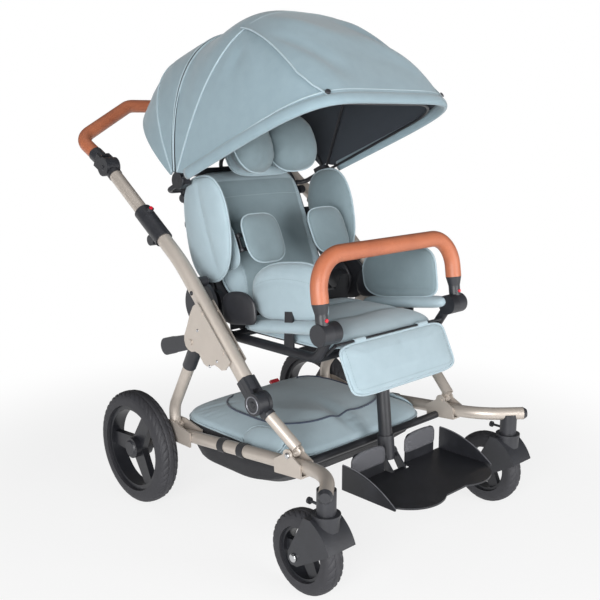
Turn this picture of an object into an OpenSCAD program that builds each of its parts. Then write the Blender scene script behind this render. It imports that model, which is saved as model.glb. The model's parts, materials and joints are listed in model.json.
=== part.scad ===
// Special needs buggy: folding tube chassis, casters, tilting seat unit, canopy and footrest.
// Millimetres, +Z up. The child faces -Y. Depths (y) are measured back from the caster stems
// and place() then centres the whole buggy on the origin.

/* [Wheels] */
// Outside diameter of the rear tyres
rear_wheel_d = 283; // [265:1:295]
// Width of the rear tyres
rear_tyre_w = 52; // [44:1:56]
// Diameter of the rear rim's edge
rear_rim_d = 214; // [196:1:222]
// Outside diameter of the caster tyres
front_wheel_d = 178; // [168:1:184]
// Width of the caster tyres
front_tyre_w = 46; // [40:1:50]
// Diameter of the caster rim's edge
front_rim_d = 116; // [104:1:124]
// Rear axle shaft diameter
axle_d = 12; // [10:0.5:14]
// Distance from the caster stems back to the rear axle
rear_axle_y = 662; // [652:1:690]
// How far the caster axle trails behind its stem
caster_trail = 53; // [50:1:58]
// How far a caster stem stands outside its side tube
stem_out = 56; // [52:1:63]

/* [Chassis] */
// Distance between the axes of the lower side tubes
frame_w = 524; // [514:1:530]
// Diameter of the chassis tubes
tube_d = 30; // [28:0.5:31]
// Wall of the chassis tubes
tube_wall = 2; // [1.5:0.1:3]
// Rear end of the side tube, depth
side_rear_y = 520; // [505:1:525]
// Rear end of the side tube, height
side_rear_z = 194; // [190:1:200]
// Height of the side tube over the casters
caster_tube_z = 240; // [238:1:246]
// Angle at which the front of the side tube splays outwards
tube_splay = 50; // [45:1:55]
// Bend radius of the side tube
tube_bend_r = 130; // [110:1:140]
// Length of side tube past the caster stem
tube_overhang = 34; // [28:1:45]
// Thickness of the bracket cheeks
cheek_t = 4; // [3:0.5:5]
// Diameter of the pivot pins
pin_d = 9; // [8:0.5:10]

/* [Folding frame] */
// Strut foot pivot, depth
strut_foot_y = 149; // [145:1:155]
// Height of the strut foot pivot above the side tube's axis
strut_foot_rise = 25.5; // [25:0.5:30]
// Strut diameter
strut_d = 26; // [24:0.5:27]
// Fold hinge, depth
hinge_y = 235; // [228:1:242]
// Fold hinge, height
hinge_z = 350; // [344:1:358]
// Fold hinge disc diameter
hinge_d = 50; // [46:1:54]
// Distance between the axes of the seat rails
rail_w = 570; // [562:1:580]
// Rail diameter
rail_d = 35; // [33:0.5:36]
// Wall of the lower rail
rail_wall = 1.5; // [1.2:0.1:2]
// Bend of the rail, depth
rail_bend_y = 500; // [490:1:510]
// Bend of the rail, height
rail_bend_z = 624; // [618:1:630]
// Handle hub at the top of the rail, depth
handle_hub_y = 788; // [775:1:800]
// Handle hub, height
handle_hub_z = 828; // [815:1:840]
// Rear leg foot pivot, depth
leg_foot_y = 572; // [568:1:580]
// Rear leg foot pivot, height
leg_foot_z = 207; // [204:1:212]
// Rear leg top pivot, depth
leg_top_y = 440; // [432:1:448]
// Rear leg top pivot, height
leg_top_z = 450; // [444:1:456]
// Rear leg tube diameter
leg_d = 28; // [26:0.5:29]

/* [Handle] */
// First bend of the handle, depth
handle_bend_y = 918; // [905:1:925]
// First bend of the handle, height
handle_bend_z = 893; // [885:1:905]
// Crossbar of the handle, depth
handle_bar_y = 966; // [955:1:975]
// Crossbar of the handle, height
handle_bar_z = 977; // [965:1:990]
// Straight length of the crossbar
handle_bar_w = 212; // [190:1:230]
// Leather grip diameter
handle_d = 34; // [31:0.5:36]

/* [Seat] */
// Front edge of the seat cushion, depth
seat_front_y = 119; // [117:1:124]
// Height of the seat cushion's seam
seat_z = 471; // [468:1:476]
// Seat cushion width
seat_w = 336; // [320:1:340]
// Seat cushion length
seat_l = 306; // [290:1:310]
// Distance between the axes of the seat's side tubes
seat_frame_w = 400; // [394:1:404]
// Seat tube diameter
seat_tube_d = 22; // [20:0.5:23]
// Tilt pivot, depth
tilt_y = 470; // [464:1:476]
// Tilt pivot, height
tilt_z = 525; // [520:1:530]
// Thigh pad length
thigh_l = 240; // [225:1:246]
// Thigh pad height
thigh_h = 124; // [112:1:130]
// Thigh pad thickness
thigh_t = 30; // [24:1:31]

/* [Backrest] */
// Recline of the back from vertical
recline = 24.7; // [20:0.1:28]
// Depth of the back's front face at its base
back_y = 432; // [428:1:436]
// Height of the back's base
back_z = 505; // [502:1:508]
// Back cushion width
back_w = 322; // [306:1:326]
// Back cushion length
back_l = 298; // [280:1:302]
// Back cushion thickness
back_t = 44; // [36:1:46]
// Side wing height
wing_h = 238; // [220:1:242]
// Side wing depth
wing_depth = 138; // [126:1:142]
// Side wing thickness
wing_t = 32; // [26:1:34]
// Trunk pad width
trunk_w = 116; // [104:1:120]
// Trunk pad height
trunk_h = 118; // [108:1:124]
// Trunk pad thickness
trunk_t = 30; // [24:1:34]
// Head lobe width
head_w = 100; // [90:1:108]
// Head lobe height
head_h = 124; // [112:1:130]
// Head lobe thickness
head_t = 56; // [44:1:58]

/* [Canopy] */
// Canopy pivot, depth
canopy_y = 560; // [556:1:564]
// Canopy pivot, height
canopy_z = 803; // [799:1:807]
// Reach of the rear bow from the pivot
canopy_rear_r = 322; // [310:1:335]
// Reach of the middle of the canopy from the pivot
canopy_top_r = 402; // [390:1:410]
// Reach of the front rim from the pivot
canopy_front_r = 483; // [465:1:495]
// Thickness of the canopy's padded cloth
canopy_t = 5; // [4:0.5:6]

/* [Bumper bar] */
// Distance between the bar's uprights
bar_w = 450; // [446:1:458]
// Bar hub, depth
bar_hub_y = 103; // [100:1:106]
// Bar hub, height
bar_hub_z = 514; // [510:1:518]
// Height of the bar's crossbar
bar_z = 672; // [662:1:684]
// Leather diameter of the bar
bar_d = 37; // [34:0.5:38]

/* [Footrest] */
// Length of the legrest flap
flap_l = 112; // [104:1:118]
// Width of the legrest flap
flap_w = 352; // [336:1:358]
// Thickness of the legrest flap
flap_t = 18; // [14:1:20]
// Footrest post diameter
post_d = 31; // [28:0.5:32]
// Foot of the footrest post, depth
post_foot_y = 116; // [113:1:119]
// Foot of the footrest post, height
post_foot_z = 181; // [178:1:190]
// Height of the footplate's floor
footplate_z = 162; // [158:1:164]
// Footplate width
footplate_w = 344; // [330:1:360]
// Rear edge of the footplate, depth
footplate_rear_y = 96; // [94:1:98]
// Length of the footplate to its front lobes
footplate_l = 190; // [180:1:198]
// Height of the footplate's side walls
foot_wall_h = 52; // [44:1:58]
// Footplate sheet thickness
foot_sheet_t = 4; // [3:0.5:5]

/* [Basket] */
// Length of the basket
basket_l = 436; // [420:1:440]
// Distance from a side tube's axis in to the basket's rim
basket_side = 28; // [26:1:36]
// Depth of the basket below its rim
basket_depth = 122; // [100:1:130]
// Height of the basket's rim
basket_rim_z = 217; // [214:1:220]
// Crown of the padded basket cover
cover_crown = 44; // [30:1:54]

/* [Hidden] */
$fn = 48;

// Clearances shared by all fits
run_gap = 0.05;
seat_gap = 0.3;
face_gap = 0.5;
overrun = 2;
wheel_gap = 4;
bend_lap = 0.5;
bend_swell = 0.1;

// Chassis places worked out from the driving sizes
frame_x = frame_w / 2;
rail_x = rail_w / 2;
cheek_in = tube_d / 2 + face_gap;
cheek_out = cheek_in + cheek_t;
rear_x = frame_x + cheek_out + wheel_gap + rear_tyre_w / 2;
rear_r = rear_wheel_d / 2;
front_r = front_wheel_d / 2;
stem_x = frame_x + stem_out;
splay_dir = [sin(tube_splay), -cos(tube_splay), 0];
side_rear = [frame_x, side_rear_y, side_rear_z];
side_bend = [frame_x, (stem_x - frame_x) / tan(tube_splay), caster_tube_z];
side_front = [stem_x, 0, caster_tube_z] + tube_overhang * splay_dir;
side_path = [side_rear, side_bend, side_front];
side_dir = unit(side_bend - side_rear);
side_slope = atan2(side_bend.z - side_rear.z, side_rear.y - side_bend.y);
function side_z(y) = side_rear.z + (side_rear.y - y) * tan(side_slope);

// Fold linkage points: strut foot, fold hinge, rear leg foot and top
strut_foot = [frame_x, strut_foot_y, side_z(strut_foot_y) + strut_foot_rise];
hinge = [rail_x, hinge_y, hinge_z];
leg_foot = [frame_x, leg_foot_y, leg_foot_z];
leg_top = [rail_x, leg_top_y, leg_top_z];
rail_bend = [rail_x, rail_bend_y, rail_bend_z];
hub = [rail_x, handle_hub_y, handle_hub_z];
upper_dir = unit(hub - rail_bend);
rail_dir = unit(rail_bend - hinge);
hinge_neck = 62;
rail_foot = hinge + hinge_neck * rail_dir;
rail_bend_r = 400;
rail_end_share = 0.385;
rail_end = rail_bend + rail_end_share * (hub - rail_bend);
upper_d = rail_d - 2 * rail_wall - 2 * run_gap;
upper_tail_share = 0.115;
upper_tail = rail_bend + upper_tail_share * (hub - rail_bend);

// Basket, seat and canopy places
basket_w = frame_w - 2 * basket_side;
seat_x = seat_frame_w / 2;
seat_drop = 10;
seat_tube_z = seat_z - seat_tube_d / 2 - seat_drop;
bar_x = bar_w / 2;
canopy_side_gap = 15.5;
canopy_x = rail_x - rail_d / 2 - canopy_side_gap;

// The buggy's length runs from the footplate's lobes to the handle's crossbar
front_end = footplate_rear_y - footplate_l;
rear_end = handle_bar_y + handle_d / 2;
y_mid = (front_end + rear_end) / 2;

function unit(v) = v / norm(v);
function mirrored(p) = [-p.x, p.y, p.z];

// Centre the buggy on the origin
module place() {
    translate([0, -y_mid, 0]) children();
}

// The child's left side is drawn, and the right side is its mirror image
module left() {
    place() children();
}
module right() {
    place() mirror([1, 0, 0]) children();
}
module both() {
    left() children();
    right() children();
}

// Set a child's +Z along the line from a to b
module aim(a, b) {
    v = b - a;
    translate(a) rotate([0, acos(v.z / norm(v)), atan2(v.y, v.x)]) children();
}

module rod(a, b, d) {
    aim(a, b) cylinder(h = norm(b - a), d = d);
}

// A cylinder along X from x1 to x2 at depth and height p
module axial(x1, x2, p, d) {
    translate([x1, p[0], p[1]]) rotate([0, 90, 0]) cylinder(h = x2 - x1, d = d);
}

// A flat plate: an outline in (y, z) with a thickness from x1 to x2
module side_plate(x1, x2, outline) {
    translate([x1, 0, 0]) rotate([90, 0, 90]) linear_extrude(x2 - x1) polygon(outline);
}

// How far a bend of radius r reaches back from its corner
function bend_reach(p, i, r) =
    (i == 0 || i == len(p) - 1) ? 0
        : r * tan(acos(unit(p[i] - p[i - 1]) * unit(p[i + 1] - p[i])) / 2);

// A round bar along straight runs with a true bend at each inner corner
module bent_bar(p, d, r) {
    for (i = [0:len(p) - 2]) {
        u = unit(p[i + 1] - p[i]);
        from = max(0, bend_reach(p, i, r) - bend_lap);
        to = max(0, bend_reach(p, i + 1, r) - bend_lap);
        rod(p[i] + u * from, p[i + 1] - u * to, d);
    }
    for (i = [1:1:len(p) - 2]) {
        u = unit(p[i] - p[i - 1]);
        v = unit(p[i + 1] - p[i]);
        turn = acos(u * v);
        centre = p[i] + unit(v - u) * r / cos(turn / 2);
        e = unit(p[i] - u * bend_reach(p, i, r) - centre);
        n = cross(e, u);
        multmatrix([[e.x, u.x, n.x, centre.x], [e.y, u.y, n.y, centre.y],
                    [e.z, u.z, n.z, centre.z], [0, 0, 0, 1]])
            rotate_extrude(angle = turn) translate([r, 0]) circle(d = d + bend_swell);
    }
}

// The same bar as an open tube
module bent_tube(p, d, wall, r) {
    last = len(p) - 1;
    tail = p[0] - overrun * unit(p[1] - p[0]);
    tip = p[last] + overrun * unit(p[last] - p[last - 1]);
    difference() {
        bent_bar(p, d, r);
        bent_bar([for (i = [0:last]) i == 0 ? tail : i == last ? tip : p[i]], d - 2 * wall, r);
    }
}

// Cushion outline: a squared ellipse whose sides draw in between the corners
pull_share = 0.02;
sew_sharpness = 14;
swell_power = 3;
function squared(c, power) = sign(c) * pow(abs(c), 2 / power);
function drawn(p, w, l) =
    [p[0] * (1 - pull_share * (1 - pow(2 * p[1] / l, 2))),
     p[1] * (1 - pull_share * (1 - pow(2 * p[0] / w, 2)))];
function sewn(y, l, channels, depth) =
    1 - depth * (channels == 0 ? 0 : pow(abs(cos(180 * channels * y / l)), sew_sharpness));

// Closed cushion in the XY plane with its seam at z = 0, a crown above and a flatter back below.
// Channels are sewn across its length.
big_sides = 28;
big_rings = 5;
small_sides = 24;
small_rings = 4;
module cushion(w, l, crown, back, power, sides, rings, channels = 0, depth_share = 0) {
    edge = [for (j = [0:sides - 1])
        let (t = 360 * j / sides)
        drawn([squared(cos(t), power) * w / 2, squared(sin(t), power) * l / 2], w, l)];
    spread = [for (k = [1:rings]) sin(90 * k / rings)];
    swell = [for (k = [1:rings]) k == rings ? 0 : sqrt(1 - pow(spread[k - 1], swell_power))];
    top = [for (k = [0:rings - 1]) for (e = edge)
        [e[0] * spread[k], e[1] * spread[k],
         crown * swell[k] * sewn(e[1] * spread[k], l, channels, depth_share)]];
    under = [for (k = [0:rings - 2]) for (e = edge) [e[0] * spread[k], e[1] * spread[k], -back * swell[k]]];
    rim = sides * (rings - 1);
    low = sides * rings;
    peak = low + rim;
    function upper(k, j) = k * sides + j % sides;
    function lower(k, j) = (k == rings - 1 ? rim : low + k * sides) + j % sides;
    faces = concat(
        [for (j = [0:sides - 1]) each
            [[peak, upper(0, j + 1), upper(0, j)], [peak + 1, lower(0, j), lower(0, j + 1)]]],
        [for (k = [0:rings - 2]) for (j = [0:sides - 1]) each
            [[upper(k, j), upper(k, j + 1), upper(k + 1, j + 1)],
             [upper(k, j), upper(k + 1, j + 1), upper(k + 1, j)],
             [lower(k, j), lower(k + 1, j + 1), lower(k, j + 1)],
             [lower(k, j), lower(k + 1, j), lower(k + 1, j + 1)]]]);
    centres = [[0, 0, crown * sewn(0, l, channels, depth_share)], [0, 0, -back]];
    polyhedron(concat(top, under, centres), faces);
}

// Lower side tubes, splayed out over the casters
module side_tube() {
    color("tan") both() bent_tube(side_path, tube_d, tube_wall, tube_bend_r);
}

// Cheeks clasp the side tube and carry the strut's foot pin
bracket_rear = 44;
bracket_front = 38;
bracket_drop = cheek_in + cheek_t;
ear_r = 13;
ear_step = 30;
module front_bracket() {
    foot = [strut_foot.y, side_z(strut_foot.y)];
    up = strut_foot.z - foot[1];
    shoulder = tube_d / 3;
    ear = [for (t = [0:ear_step:180]) [ear_r * cos(t), up + ear_r * sin(t)]];
    outline = concat([[bracket_rear, -bracket_drop], [bracket_rear, shoulder]], ear,
                     [[-bracket_front, shoulder], [-bracket_front, -bracket_drop]]);
    floor = [[bracket_rear, -bracket_drop], [bracket_rear, -cheek_in],
             [-bracket_front, -cheek_in], [-bracket_front, -bracket_drop]];
    pin_x = cheek_out + cheek_t / 2;
    color("tan") both() {
        translate([frame_x, foot[0], foot[1]]) rotate([-side_slope, 0, 0]) {
            side_plate(cheek_in, cheek_out, outline);
            side_plate(-cheek_out, -cheek_in, outline);
            side_plate(-cheek_out, cheek_out, floor);
        }
        axial(frame_x - pin_x, frame_x + pin_x, [strut_foot.y, strut_foot.z], pin_d);
    }
}

// Caster housings: a saddle under the tube, a ringed flange and the tube's end cap
housing_d = 40;
flange_d = 58;
flange_t = 7;
stem_d = 12;
cap_t = 9;
cap_lip = 1;
cap_taper_share = 0.7;
fork_rise = 5;
fork_top = front_wheel_d + fork_rise;
lock_d = 6;
lock_rise = 11;
lock_z = fork_top + flange_t + lock_rise;
module caster_housing() {
    base = fork_top + seat_gap;
    color("dimgray") both() {
        difference() {
            union() {
                translate([stem_x, 0, base]) cylinder(h = flange_t, d = flange_d);
                translate([stem_x, 0, base]) cylinder(h = caster_tube_z - base, d = housing_d);
            }
            rod(side_bend, side_front + overrun * splay_dir, tube_d + 2 * run_gap);
            translate([stem_x, 0, base - overrun]) cylinder(h = caster_tube_z, d = stem_d + 2 * run_gap);
            rod([stem_x, stem_d / 2, lock_z], [stem_x, housing_d, lock_z], lock_d + 2 * run_gap);
        }
        aim(side_front, side_front + splay_dir)
            cylinder(h = cap_t, d1 = tube_d + cap_lip, d2 = tube_d * cap_taper_share);
    }
}

// Cheeks at the rear end of the side tube hold the leg's foot pin and the axle
ear_share = 0.6;
web_gap = 3;
module rear_bracket() {
    p = [leg_foot.y, leg_foot.z];
    a = [rear_axle_y, rear_r];
    ear = tube_d * ear_share;
    outline = [[side_rear_y - tube_d, side_rear_z - ear], [side_rear_y - tube_d, side_rear_z + ear],
               [p[0] - ear, p[1] + ear], [p[0] + ear / 2, p[1] + ear], [a[0] + ear, a[1] + ear / 2],
               [a[0] + ear, a[1] - ear / 2], [a[0] + ear / 2, a[1] - ear], [a[0] - ear, a[1] - ear / 2],
               [p[0] - ear, side_rear_z - ear]];
    web_1 = [side_rear_y + web_gap, side_rear_z - tube_d / 3];
    web_2 = [side_rear_y + tube_d / 3, side_rear_z + tube_d / 3];
    web = [web_1, [web_2[0], web_1[1]], web_2, [web_1[0], web_2[1]]];
    plug_d = tube_d - 2 * tube_wall - 2 * run_gap;
    color("tan") both() {
        difference() {
            union() {
                side_plate(frame_x + cheek_in, frame_x + cheek_out, outline);
                side_plate(frame_x - cheek_out, frame_x - cheek_in, outline);
            }
            axial(frame_x - 2 * cheek_out, frame_x + 2 * cheek_out, a, axle_d + 2 * run_gap);
        }
        axial(frame_x - cheek_out, frame_x + cheek_out, p, pin_d);
        rod(side_rear - 2 * web_gap * side_dir, side_rear + tube_d * side_dir, plug_d);
        side_plate(frame_x - cheek_out, frame_x + cheek_out, web);
    }
}

// Axle: a tube between the brackets, stepped down to run through them into the hubs
axle_tube_d = 22;
hub_w_share = 0.92;
module rear_axle() {
    inner = frame_x - cheek_out - seat_gap;
    tip = rear_x + hub_w_share * rear_tyre_w / 2 - cheek_t;
    color("dimgray") place() {
        axial(-inner, inner, [rear_axle_y, rear_r], axle_tube_d);
        axial(-tip, tip, [rear_axle_y, rear_r], axle_d);
    }
}

// Front cross bar between the brackets, which also carries the basket's front
cross_bar_d = 18;
cross_bar_back = 14;
cross_bar_drop = 2;
cross_bar_y = strut_foot_y + cross_bar_back;
module cross_bar() {
    reach = frame_x - cheek_out - seat_gap;
    color("dimgray") place() axial(-reach, reach, [cross_bar_y, basket_rim_z - cross_bar_drop], cross_bar_d);
}

// Basket tub: a sagging cloth wall, open at the top
basket_y = cross_bar_y + cross_bar_d / 2 + seat_gap + basket_l / 2;
basket_power = 6;
tub_wall = 4;
tub_sides = 32;
tub_depth_shares = [0, 0.45, 0.8, 1];
tub_plan_shares = [1, 0.97, 0.9, 0.7];
tub_front_share = 0.8;
module basket_tub() {
    function edge(t, grow) =
        [squared(cos(t), basket_power) * (basket_w / 2 - grow),
         squared(sin(t), basket_power) * (basket_l / 2 - grow)];
    function sag(y) = 1 - tub_front_share * pow(max(0, -2 * y / basket_l), 2);
    function spot(t, k, grow) =
        let (e = edge(t, grow) * tub_plan_shares[k])
        [e[0], basket_y + e[1], basket_rim_z - (basket_depth - grow) * tub_depth_shares[k] * sag(e[1])];
    levels = len(tub_depth_shares);
    function wall(grow) =
        [for (k = [0:levels - 1]) for (j = [0:tub_sides - 1]) spot(360 * j / tub_sides, k, grow)];
    half = levels * tub_sides;
    function at(k, j) = k * tub_sides + j % tub_sides;
    function in(k, j) = half + at(k, j);
    last = levels - 1;
    faces = concat(
        [for (k = [0:last - 1]) for (j = [0:tub_sides - 1]) each
            [[at(k, j), at(k, j + 1), at(k + 1, j + 1)], [at(k, j), at(k + 1, j + 1), at(k + 1, j)],
             [in(k, j), in(k + 1, j + 1), in(k, j + 1)], [in(k, j), in(k + 1, j), in(k + 1, j + 1)]]],
        [for (j = [0:tub_sides - 1]) each
            [[at(0, j), in(0, j + 1), at(0, j + 1)], [at(0, j), in(0, j), in(0, j + 1)],
             [at(last, j), at(last, j + 1), 2 * half], [in(last, j + 1), in(last, j), 2 * half + 1]]]);
    floor_z = basket_rim_z - basket_depth;
    middles = [[0, basket_y, floor_z], [0, basket_y, floor_z + tub_wall]];
    color("black") place() polyhedron(concat(wall(0), wall(tub_wall), middles), faces);
}

// Padded zip cover over the basket
cover_edge = 8;
cover_lift = 1.2;
module basket_cover() {
    color("lightsteelblue") place() translate([0, basket_y, basket_rim_z + seat_gap + cover_lift])
        cushion(basket_w, basket_l - tub_wall, cover_crown, cover_edge, basket_power, tub_sides, big_rings);
}

// Hook-and-loop bands round the side tubes
strap_w = 20;
strap_t = 2.4;
strap_shares = [0.27, 0.415];
module basket_strap() {
    color("black") both() for (share = strap_shares) {
        p = side_rear + share * (side_bend - side_rear);
        aim(p, p + side_dir) difference() {
            cylinder(h = strap_w, d = tube_d + 2 * strap_t);
            translate([0, 0, -overrun]) cylinder(h = strap_w + 2 * overrun, d = tube_d + 2 * run_gap);
        }
    }
}

// Half of a tyre's section, as shares of its depth and of its width, bead to crown
tyre_shares = [[0, 0.36], [0.32, 0.5], [0.55, 0.5], [0.86, 0.38], [0.92, 0.2], [0.88, 0.17], [1, 0.13]];
module tyre(x, y, r, w, rim_r) {
    depth = r - rim_r - run_gap;
    function half(side) = [for (p = tyre_shares) [rim_r + run_gap + p[0] * depth, side * p[1] * w]];
    right_half = half(1);
    last = len(tyre_shares) - 1;
    translate([x, y, r]) rotate([0, 90, 0]) rotate_extrude()
        polygon(concat(half(-1), [for (k = [0:last]) right_half[last - k]]));
}

// Rim with a hub, a flanged ring and broad spokes
ring_share = 0.1;
ring_w_share = 0.7;
spoke_w_share = 0.32;
spoke_root_share = 0.9;
spoke_tip_share = 0.62;
module rim(x, y, r, w, rim_r, bore, hub_r, spokes) {
    ring = rim_r * ring_share;
    root = hub_r * spoke_root_share;
    tip = hub_r * spoke_tip_share;
    reach = rim_r - ring / 2;
    translate([x, y, r]) rotate([0, 90, 0]) difference() {
        union() {
            difference() {
                cylinder(h = w * ring_w_share, r = rim_r, center = true);
                cylinder(h = w, r = rim_r - ring, center = true);
            }
            cylinder(h = w * hub_w_share, r = hub_r, center = true);
            for (k = [0:spokes - 1]) rotate(360 * k / spokes + 90)
                linear_extrude(w * spoke_w_share, center = true)
                    polygon([[0, -root], [reach, -tip], [reach, tip], [0, root]]);
        }
        cylinder(h = 2 * w, d = bore + 2 * run_gap, center = true);
    }
}

rear_hub_share = 0.24;
rear_spokes = 3;
rear_rim_r = rear_rim_d / 2;
rear_hub_r = rear_rim_r * rear_hub_share;
module rear_tyre() {
    tyre(rear_x, rear_axle_y, rear_r, rear_tyre_w, rear_rim_r);
}
module rear_tyre_l() {
    color("black") left() rear_tyre();
}
module rear_tyre_r() {
    color("black") right() rear_tyre();
}
module rear_rim() {
    rim(rear_x, rear_axle_y, rear_r, rear_tyre_w, rear_rim_r, axle_d, rear_hub_r, rear_spokes);
}
module rear_rim_l() {
    color("dimgray") left() rear_rim();
}
module rear_rim_r() {
    color("dimgray") right() rear_rim();
}

cap_share = 0.8;
module hub_cap() {
    d = 2 * rear_hub_r * cap_share;
    translate([rear_x + hub_w_share * rear_tyre_w / 2, rear_axle_y, rear_r])
        rotate([0, 90, 0]) cylinder(h = cheek_t, d1 = d, d2 = d * cap_share);
}
module hub_cap_l() {
    color("dimgray") left() hub_cap();
}
module hub_cap_r() {
    color("dimgray") right() hub_cap();
}

// Caster fork: a rounded hood in front of the wheel, two arms, the stem and the axle pin
fork_gap = 6;
fork_arm_t = 9;
fork_front = 52;
fork_rear = 26;
fork_eye = 17;
front_axle_d = 10;
crown_d = 54;
module caster_fork() {
    a = [caster_trail, front_r];
    inner = front_tyre_w / 2 + fork_gap;
    outer = inner + fork_arm_t;
    hood_d = front_wheel_d + 2 * fork_gap;
    shape = [[-fork_front, fork_top - 2 * fork_rear], [-fork_front, fork_top], [fork_rear, fork_top],
             [a[0] + fork_eye, a[1] + fork_eye / 2], [a[0] + fork_eye, a[1] - fork_eye / 2],
             [a[0] + fork_eye / 2, a[1] - fork_eye], [a[0] - fork_eye / 2, a[1] - fork_eye]];
    difference() {
        union() {
            intersection() {
                side_plate(stem_x - outer, stem_x + outer, shape);
                axial(stem_x - outer, stem_x + outer, a, hood_d + 2 * fork_arm_t);
            }
            translate([stem_x, 0, fork_top - fork_rear]) cylinder(h = fork_rear, d = crown_d);
        }
        axial(stem_x - inner, stem_x + inner, a, hood_d);
    }
    translate([stem_x, 0, fork_top - fork_arm_t / 2])
        cylinder(h = caster_tube_z - fork_top - tube_d / 2, d = stem_d);
    axial(stem_x - outer - cheek_t / 2, stem_x + outer + cheek_t / 2, a, front_axle_d);
}
module caster_fork_l() {
    color("dimgray") left() caster_fork();
}
module caster_fork_r() {
    color("dimgray") right() caster_fork();
}

front_hub_share = 0.34;
front_spokes = 3;
front_rim_r = front_rim_d / 2;
front_hub_r = front_rim_r * front_hub_share;
module caster_tyre() {
    tyre(stem_x, caster_trail, front_r, front_tyre_w, front_rim_r);
}
module caster_tyre_l() {
    color("black") left() caster_tyre();
}
module caster_tyre_r() {
    color("black") right() caster_tyre();
}
module caster_rim() {
    rim(stem_x, caster_trail, front_r, front_tyre_w, front_rim_r, front_axle_d, front_hub_r, front_spokes);
}
module caster_rim_l() {
    color("dimgray") left() caster_rim();
}
module caster_rim_r() {
    color("dimgray") right() caster_rim();
}

// Swivel lock: a pull pin behind each housing
lock_knob_d = 14;
lock_reach = 24;
module swivel_lock() {
    knob_y = housing_d / 2 + lock_reach;
    rod([stem_x, stem_d / 2 + overrun, lock_z], [stem_x, knob_y, lock_z], lock_d);
    rod([stem_x, knob_y, lock_z], [stem_x, knob_y + lock_d, lock_z], lock_knob_d);
}
module swivel_lock_l() {
    color("black") left() swivel_lock();
}
module swivel_lock_r() {
    color("black") right() swivel_lock();
}

// Brake pedal: a clamp ring round the axle tube with a broad foot pad
pedal_x = 198;
pedal_w = 30;
pedal_reach = 78;
pedal_t = 9;
pedal_angle = 39;
module brake_pedal() {
    a = [rear_axle_y, rear_r];
    color("red") place() difference() {
        union() {
            axial(pedal_x - pedal_w / 2, pedal_x + pedal_w / 2, a, axle_tube_d + 2 * pedal_t);
            translate([pedal_x - pedal_w / 2, a[0], a[1]]) rotate([pedal_angle, 0, 0])
                translate([0, 0, -pedal_t / 2]) cube([pedal_w, pedal_reach, pedal_t]);
        }
        axial(pedal_x - pedal_w, pedal_x + pedal_w, a, axle_tube_d + 2 * run_gap);
    }
}

// Struts from the foot pins up to the fold hinge
strut_lug_w = 20;
strut_lug_d = 17;
strut_offset = 16;
strut_start = 6;
strut_stop = 12;
strut_up = unit(hinge - strut_foot);
strut_side = unit(cross([1, 0, 0], strut_up));
hinge_r = hinge_d / 2;
strut_low = strut_foot + strut_start * strut_up + strut_offset * strut_side;
strut_dir = unit(hinge - strut_low);
strut_high = hinge - (hinge_r + strut_stop) * strut_dir;
module strut() {
    foot = [strut_foot.y, strut_foot.z];
    s = [strut_up.y, strut_up.z];
    n = [strut_side.y, strut_side.z];
    r = strut_lug_d / 2;
    side = foot + strut_start * s;
    tip = side + strut_offset * n;
    lug = [foot - r * n, side + r * n, tip, tip + strut_lug_d * s, foot + r * s];
    lug_x = strut_lug_w / 2;
    color("tan") both() {
        bent_tube([strut_low, strut_high], strut_d, tube_wall, tube_bend_r);
        difference() {
            union() {
                axial(frame_x - lug_x, frame_x + lug_x, foot, strut_lug_d);
                side_plate(frame_x - lug_x, frame_x + lug_x, lug);
            }
            axial(frame_x - 2 * lug_x, frame_x + 2 * lug_x, foot, pin_d + 2 * run_gap);
            rod(strut_low - strut_lug_d * strut_up, strut_high, strut_d - tube_wall);
        }
    }
}

// Fold hinge, strut half: a centre knuckle on a neck
knuckle_w = 18;
collar_step = 4;
collar_l = 7;
module hinge_lower() {
    p = [hinge.y, hinge.z];
    start = strut_high + seat_gap * strut_dir;
    v = unit([strut_dir.y, strut_dir.z]);
    low = p - (hinge_r + strut_stop - collar_l / 2) * v;
    across = knuckle_w / 2 * [-v[1], v[0]];
    neck = [p + across, low + across, low - across, p - across];
    color("dimgray") both() difference() {
        union() {
            axial(rail_x - knuckle_w / 2, rail_x + knuckle_w / 2, p, hinge_d - collar_step);
            side_plate(rail_x - knuckle_w / 2, rail_x + knuckle_w / 2, neck);
            rod(start, start + collar_l * strut_dir, strut_d + collar_step);
        }
        axial(rail_x - knuckle_w, rail_x + knuckle_w, p, pin_d + 2 * run_gap);
    }
}

// Fold hinge, rail half: two discs, the pin and a neck into the rail's end
neck_share = 0.55;
hinge_lip = 1;
module hinge_upper() {
    p = [hinge.y, hinge.z];
    inner = knuckle_w / 2 + seat_gap;
    outer = rail_d / 2 + hinge_lip;
    u = [rail_dir.y, rail_dir.z];
    across = hinge_r * neck_share * [-u[1], u[0]];
    far = p + (hinge_neck - seat_gap) * u;
    neck = [p + across, far + across, far - across, p - across];
    color("dimgray") both() {
        axial(rail_x + inner, rail_x + outer, p, hinge_d);
        axial(rail_x - outer, rail_x - inner, p, hinge_d);
        side_plate(rail_x + inner, rail_x + outer - 2 * hinge_lip, neck);
        side_plate(rail_x - outer + 2 * hinge_lip, rail_x - inner, neck);
        axial(rail_x - outer, rail_x + outer, p, pin_d);
        rod(hinge + (hinge_r + collar_step) * rail_dir, rail_foot - seat_gap * rail_dir, rail_d - hinge_lip);
    }
}

// Lower seat rails
module rail() {
    color("tan") both() bent_tube([rail_foot, rail_bend, rail_end], rail_d, rail_wall, rail_bend_r);
}

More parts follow.
